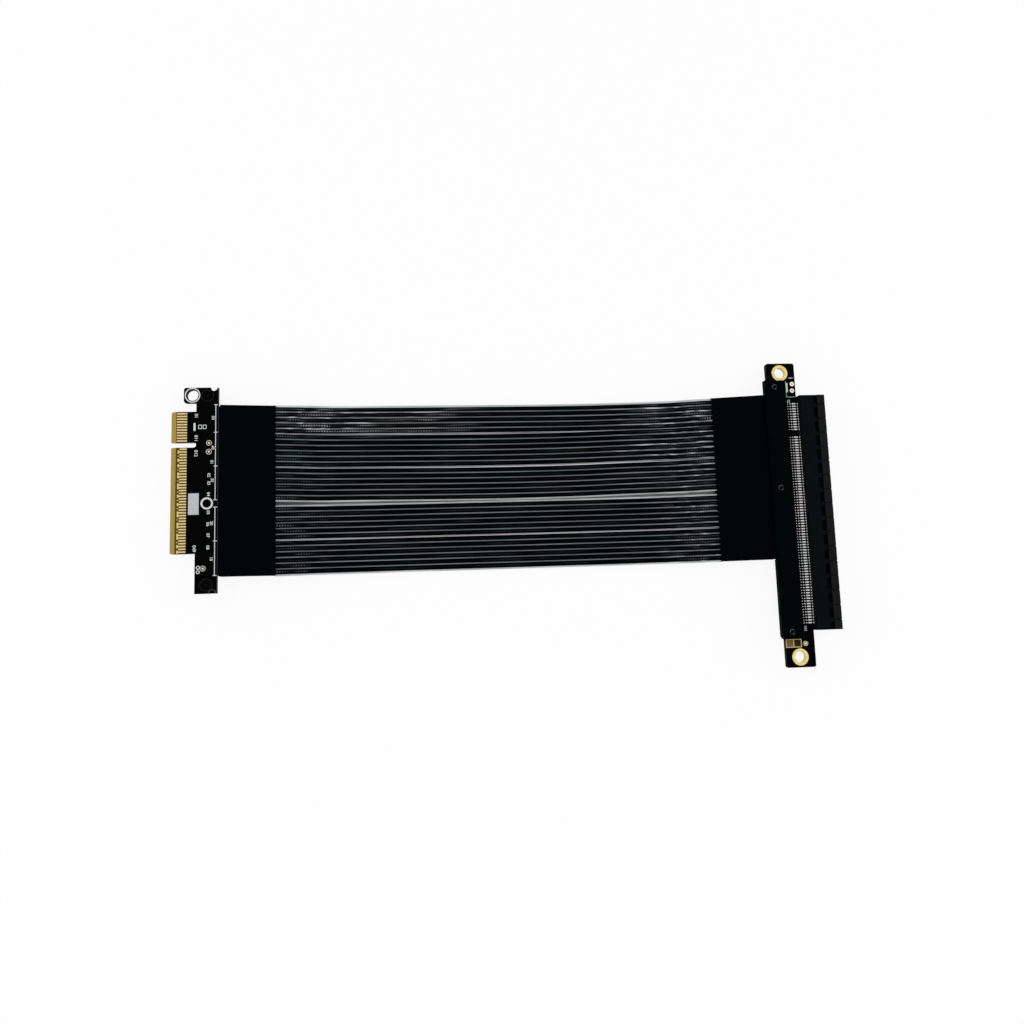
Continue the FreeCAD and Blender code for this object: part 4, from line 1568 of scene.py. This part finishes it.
    def plate_leads(self) -> None:
        """Lay the bare ground and the mask's lip, the leads above the key and the dashes below it."""
        half, step = FINGERS.half_width, FINGERS.pitch / 2
        ground = FlatWork("edge_contact_ground", Slot.GOLD, self.origin(FINGERS), self.ground_rise)
        lip = FlatWork("edge_board_mask_lip", Slot.BOARD, self.origin(FINGERS), self.lead_rise)
        stubs = FlatWork("edge_contact_stubs", Slot.GOLD, self.origin(FINGERS), self.lead_rise)
        leads = FlatWork("edge_contact_leads", Slot.GOLD, self.origin(FINGERS), self.lead_rise)
        above, below = FINGERS.above(), FINGERS.below()
        for places in (above, below):
            ground.bar(*self.ground, min(places) - step, max(places) + step)
            lip.bar(*self.mask_lip, min(places) - step, max(places) + step)
        for y in above:
            stubs.bar(*self.lead, y - half, y + half)
        for first, last in self.joined:
            leads.bar(*self.dash, below[last] - self.dash_reach, below[first] + self.dash_reach)
            for number in range(first, last + 1):
                leads.bar(self.dash[1], self.lead[1], below[number] - half, below[number] + half)
        for number in self.spots:
            middle, reach = below[number] - step, self.spot_size / 2
            leads.bar(self.dash[0], self.dash[0] + self.spot_size, middle - reach, middle + reach)
        ground.done(self.palette.bare_laminate)
        lip.done(self.palette.slot_board)
        stubs.done(self.palette.stub)
        leads.done(self.palette.gold)

    def plate_dots(self) -> None:
        """Plate the three test dots."""
        dots = FlatWork("edge_board_test_dots", Slot.GOLD, self.origin(TAILS), self.dot_rise)
        for dot in self.dots:
            dots.disc(*dot, self.dot_size)
        dots.done(self.palette.pale_gold)

    def mark_stakes(self) -> None:
        """Press a ring and a centre mark into the look of each staked peg."""
        level = self.origin(TAILS) + Vector((0.0, 0.0, self.stake_height * MM))
        marks = FlatWork("edge_cover_stake_marks", Slot.COVER, level, self.stake_mark_rise)
        for stake in self.stakes:
            marks.ring(*stake, *self.stake_ring)
            marks.disc(*stake, self.stake_dot)
        marks.done(self.palette.faint_ink_and_highlight)


@dataclass
class SlotBoard:
    """Board with the slot: finishes, rings, pads, solder, print, and the peg marks of its covers.

    Sizes are in mm. Places are from the board's left edge and the key's middle. A bar is given by its left,
    right, low and high side, a ring by its outer and inner diameter.
    """

    palette: Palette
    plating_rise: float = 0.05
    ink_rise: float = 0.02
    holes: tuple[Pair, ...] = ((5.3, 23.6), (5.3, -83.9))
    hole_ring: Pair = (6.2, 4.22)
    barrel: Pair = (4.19, 4.05)
    pads: tuple[Pair, ...] = ((9.87, 19.26), (9.73, 16.69))
    pad_ring: Pair = (1.7, 0.5)
    third_pad: Pair = (7.66, -79.05)
    third_pad_size: float = 1.0
    third_pad_ring: Pair = (1.8, 1.45)
    frame_squares: Quad = (0.15, 6.15, -80.4, -77.25)
    frame_width: float = 0.32
    square_rise: float = 0.02
    bracket: tuple[Quad, ...] = ((7.27, 7.52, 14.3, 20.4), (7.52, 8.1, 16.11, 19.7))
    dashes: tuple[Quad, ...] = ((7.27, 10.6, 14.1, 14.3), (8.65, 10.4, 21.5, 21.8))
    # The square mark by contact one: its middle, its length, width and line, and half of the bar inside
    first_mark: Pair = (8.08, 12.53)
    first_frame: Triple = (1.05, 1.05, 0.2)
    first_bar: Pair = (0.32, 0.1)
    # The row's last number, the place of its middle and its height
    last_number: tuple[str, float, float, float] = ("082", 8.01, -73.6, 0.95)
    pegs: tuple[Pair, ...] = ((1.88, 17.54), (1.69, -21.1), (1.93, -74.48))
    # A painted highlight on one side of a peg's mark, by two diameters and two turns in degrees, and a
    # painted glint as a dot beside its middle
    peg_highlight_arc: Quad = (2.0, 1.55, 50.0, 200.0)
    peg_glint: Pair = (0.35, -0.75)
    peg_glint_size: float = 0.5
    peg_mark_rise: float = 0.02
    peg_ring: Pair = (1.95, 1.6)
    peg_rim_rise: float = 0.01
    # Solder beads: how far before the board's right edge, then length, width and height
    beads: tuple[Quad, ...] = ((3.48, 0.42, 0.36, 0.12), (2.52, 0.72, 0.44, 0.24))
    solder_rise: float = 0.03

    def origin(self, face: Layer) -> Vector:
        """The point that places on a face are measured from, at the board's left edge and the slot's key."""
        low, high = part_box("slot_board")
        return Vector((low.x, TAILS.key(), high.z if face is Layer.TOP else low.z))

    def build(self) -> None:
        """Dress the board's solids and add what is printed, plated and soldered on it."""
        dress(self.palette.slot_board, "slot_board")
        dress(self.palette.cover, "slot_cover_top", "slot_cover_bottom")
        dress(self.palette.housing, "slot_housing")
        dress(self.palette.contact, "slot_contacts_top", "slot_contacts_bottom")
        for face in Layer:
            self.plate_rings(face)
            self.solder_contacts(face)
        self.plate_barrels()
        self.plate_pads()
        self.plate_squares()
        self.print_marks()
        self.mark_pegs()

    def plate_rings(self, face: Layer) -> None:
        """Plate the rings round the mounting holes.

        Args:
            face: The board's face that they lie on.
        """
        rings = FlatWork(f"slot_board_rings_{face.word}", Slot.GOLD, self.origin(face),
                         self.plating_rise, face)
        for hole in self.holes:
            rings.ring(*hole, *self.hole_ring)
        rings.done(self.palette.pale_gold)

    def plate_barrels(self) -> None:
        """Plate the walls of the mounting holes."""
        low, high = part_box("slot_board")
        foot, thickness = self.origin(Layer.BOTTOM), (high.z - low.z) / MM
        barrels = FlatWork("slot_board_hole_plating", Slot.GOLD, foot, thickness)
        for hole in self.holes:
            barrels.ring(*hole, *self.barrel)
        barrels.done(self.palette.barrel)

    def solder_contacts(self, face: Layer) -> None:
        """Solder the contacts, with two beads before each tail.

        Args:
            face: The board's face that they lie on.
        """
        solder = FlatWork(f"slot_solder_{face.word}", Slot.TIN, self.origin(face), self.solder_rise, face)
        low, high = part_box("slot_board")
        right = (high.x - low.x) / MM
        for y in TAILS.above() + TAILS.below():
            for before, length, width, height in self.beads:
                solder.dome(right - before, y, length, width, height)
        solder.done(self.palette.solder)

    def plate_pads(self) -> None:
        """Plate the three test pads."""
        pads = FlatWork("slot_board_pads", Slot.GOLD, self.origin(Layer.TOP), self.plating_rise)
        for pad in self.pads:
            pads.ring(*pad, *self.pad_ring)
        pads.done(self.palette.pad_gold)
        third = FlatWork("slot_board_third_pad", Slot.GOLD, self.origin(Layer.TOP), self.plating_rise)
        third.disc(*self.third_pad, self.third_pad_size)
        third.done(self.palette.pale_gold)

    def plate_squares(self) -> None:
        """Plate the frames of the two squares and lay the squares in them."""
        top = self.origin(Layer.TOP)
        left, right, low, high = self.frame_squares
        middle, width = (left + right) / 2, self.frame_width
        frames = FlatWork("slot_board_square_frames", Slot.GOLD, top, self.plating_rise)
        for x in (left, middle - width / 2, right - width):
            frames.bar(x, x + width, low, high)
        squares = (("slot_board_bare_square", left + width, middle - width / 2, self.palette.brown_pad),
                   ("slot_board_dark_square", middle + width / 2, right - width, self.palette.dark_pad))
        for _, start, end, _ in squares:
            frames.bar(start, end, low, low + width)
            frames.bar(start, end, high - width, high)
        frames.done(self.palette.frame_gold)
        for name, start, end, material in squares:
            square = FlatWork(name, Slot.GOLD, top, self.square_rise)
            square.bar(start, end, low + width, high - width)
            square.done(material)

    def print_marks(self) -> None:
        """Print the bracket by the test pads and a ring in white, and the finer marks in grey."""
        white = FlatWork("slot_board_print", Slot.BOARD, self.origin(Layer.TOP), self.ink_rise)
        for bar in self.bracket:
            white.bar(*bar)
        white.ring(*self.third_pad, *self.third_pad_ring)
        white.done(self.palette.ink)
        grey = FlatWork("slot_board_grey_print", Slot.BOARD, self.origin(Layer.TOP), self.ink_rise)
        for bar in self.dashes:
            grey.bar(*bar)
        x, y = self.first_mark
        along, across = self.first_bar
        grey.frame(x, y, *self.first_frame)
        grey.bar(x - along, x + along, y - across, y + across)
        grey.number(*self.last_number)
        grey.done(self.palette.grey_ink)

    def mark_pegs(self) -> None:
        """Mark the ends of the moulded pegs on the upper cover, with painted highlights on each."""
        level = Vector((*self.origin(Layer.TOP).xy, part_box("slot_cover_top")[1].z))
        marks = FlatWork("slot_cover_peg_marks", Slot.COVER, level, self.peg_mark_rise)
        rims = FlatWork("slot_cover_peg_rims", Slot.COVER, level, self.peg_rim_rise)
        for x, y in self.pegs:
            # Painted highlights: an arc on one side of each peg's mark, and a dot beside its middle
            marks.arc(x, y, *self.peg_highlight_arc)
            marks.disc(x + self.peg_glint[0], y + self.peg_glint[1], self.peg_glint_size)
            rims.ring(x, y, *self.peg_ring)
        marks.done(self.palette.highlight_ink)
        rims.done(self.palette.faint_ink_and_highlight)


def main() -> None:
    """Build the scene in order."""
    logging.basicConfig(level=logging.INFO, format="%(name)s: %(message)s")
    PhotoCamera().build()
    Studio().build()
    palette = Palette()
    RibbonCable(palette).build()
    TapeWrap(palette, "edge_tape", upper_inset=(-0.05, 0.58), lower_inset=(0.0, -0.22)).build()
    TapeWrap(palette, "slot_tape", upper_inset=(0.15, -0.85), lower_inset=(0.0, 0.18)).build()
    EdgeBoard(palette).build()
    SlotBoard(palette).build()


if __name__ == "__main__":
    main()
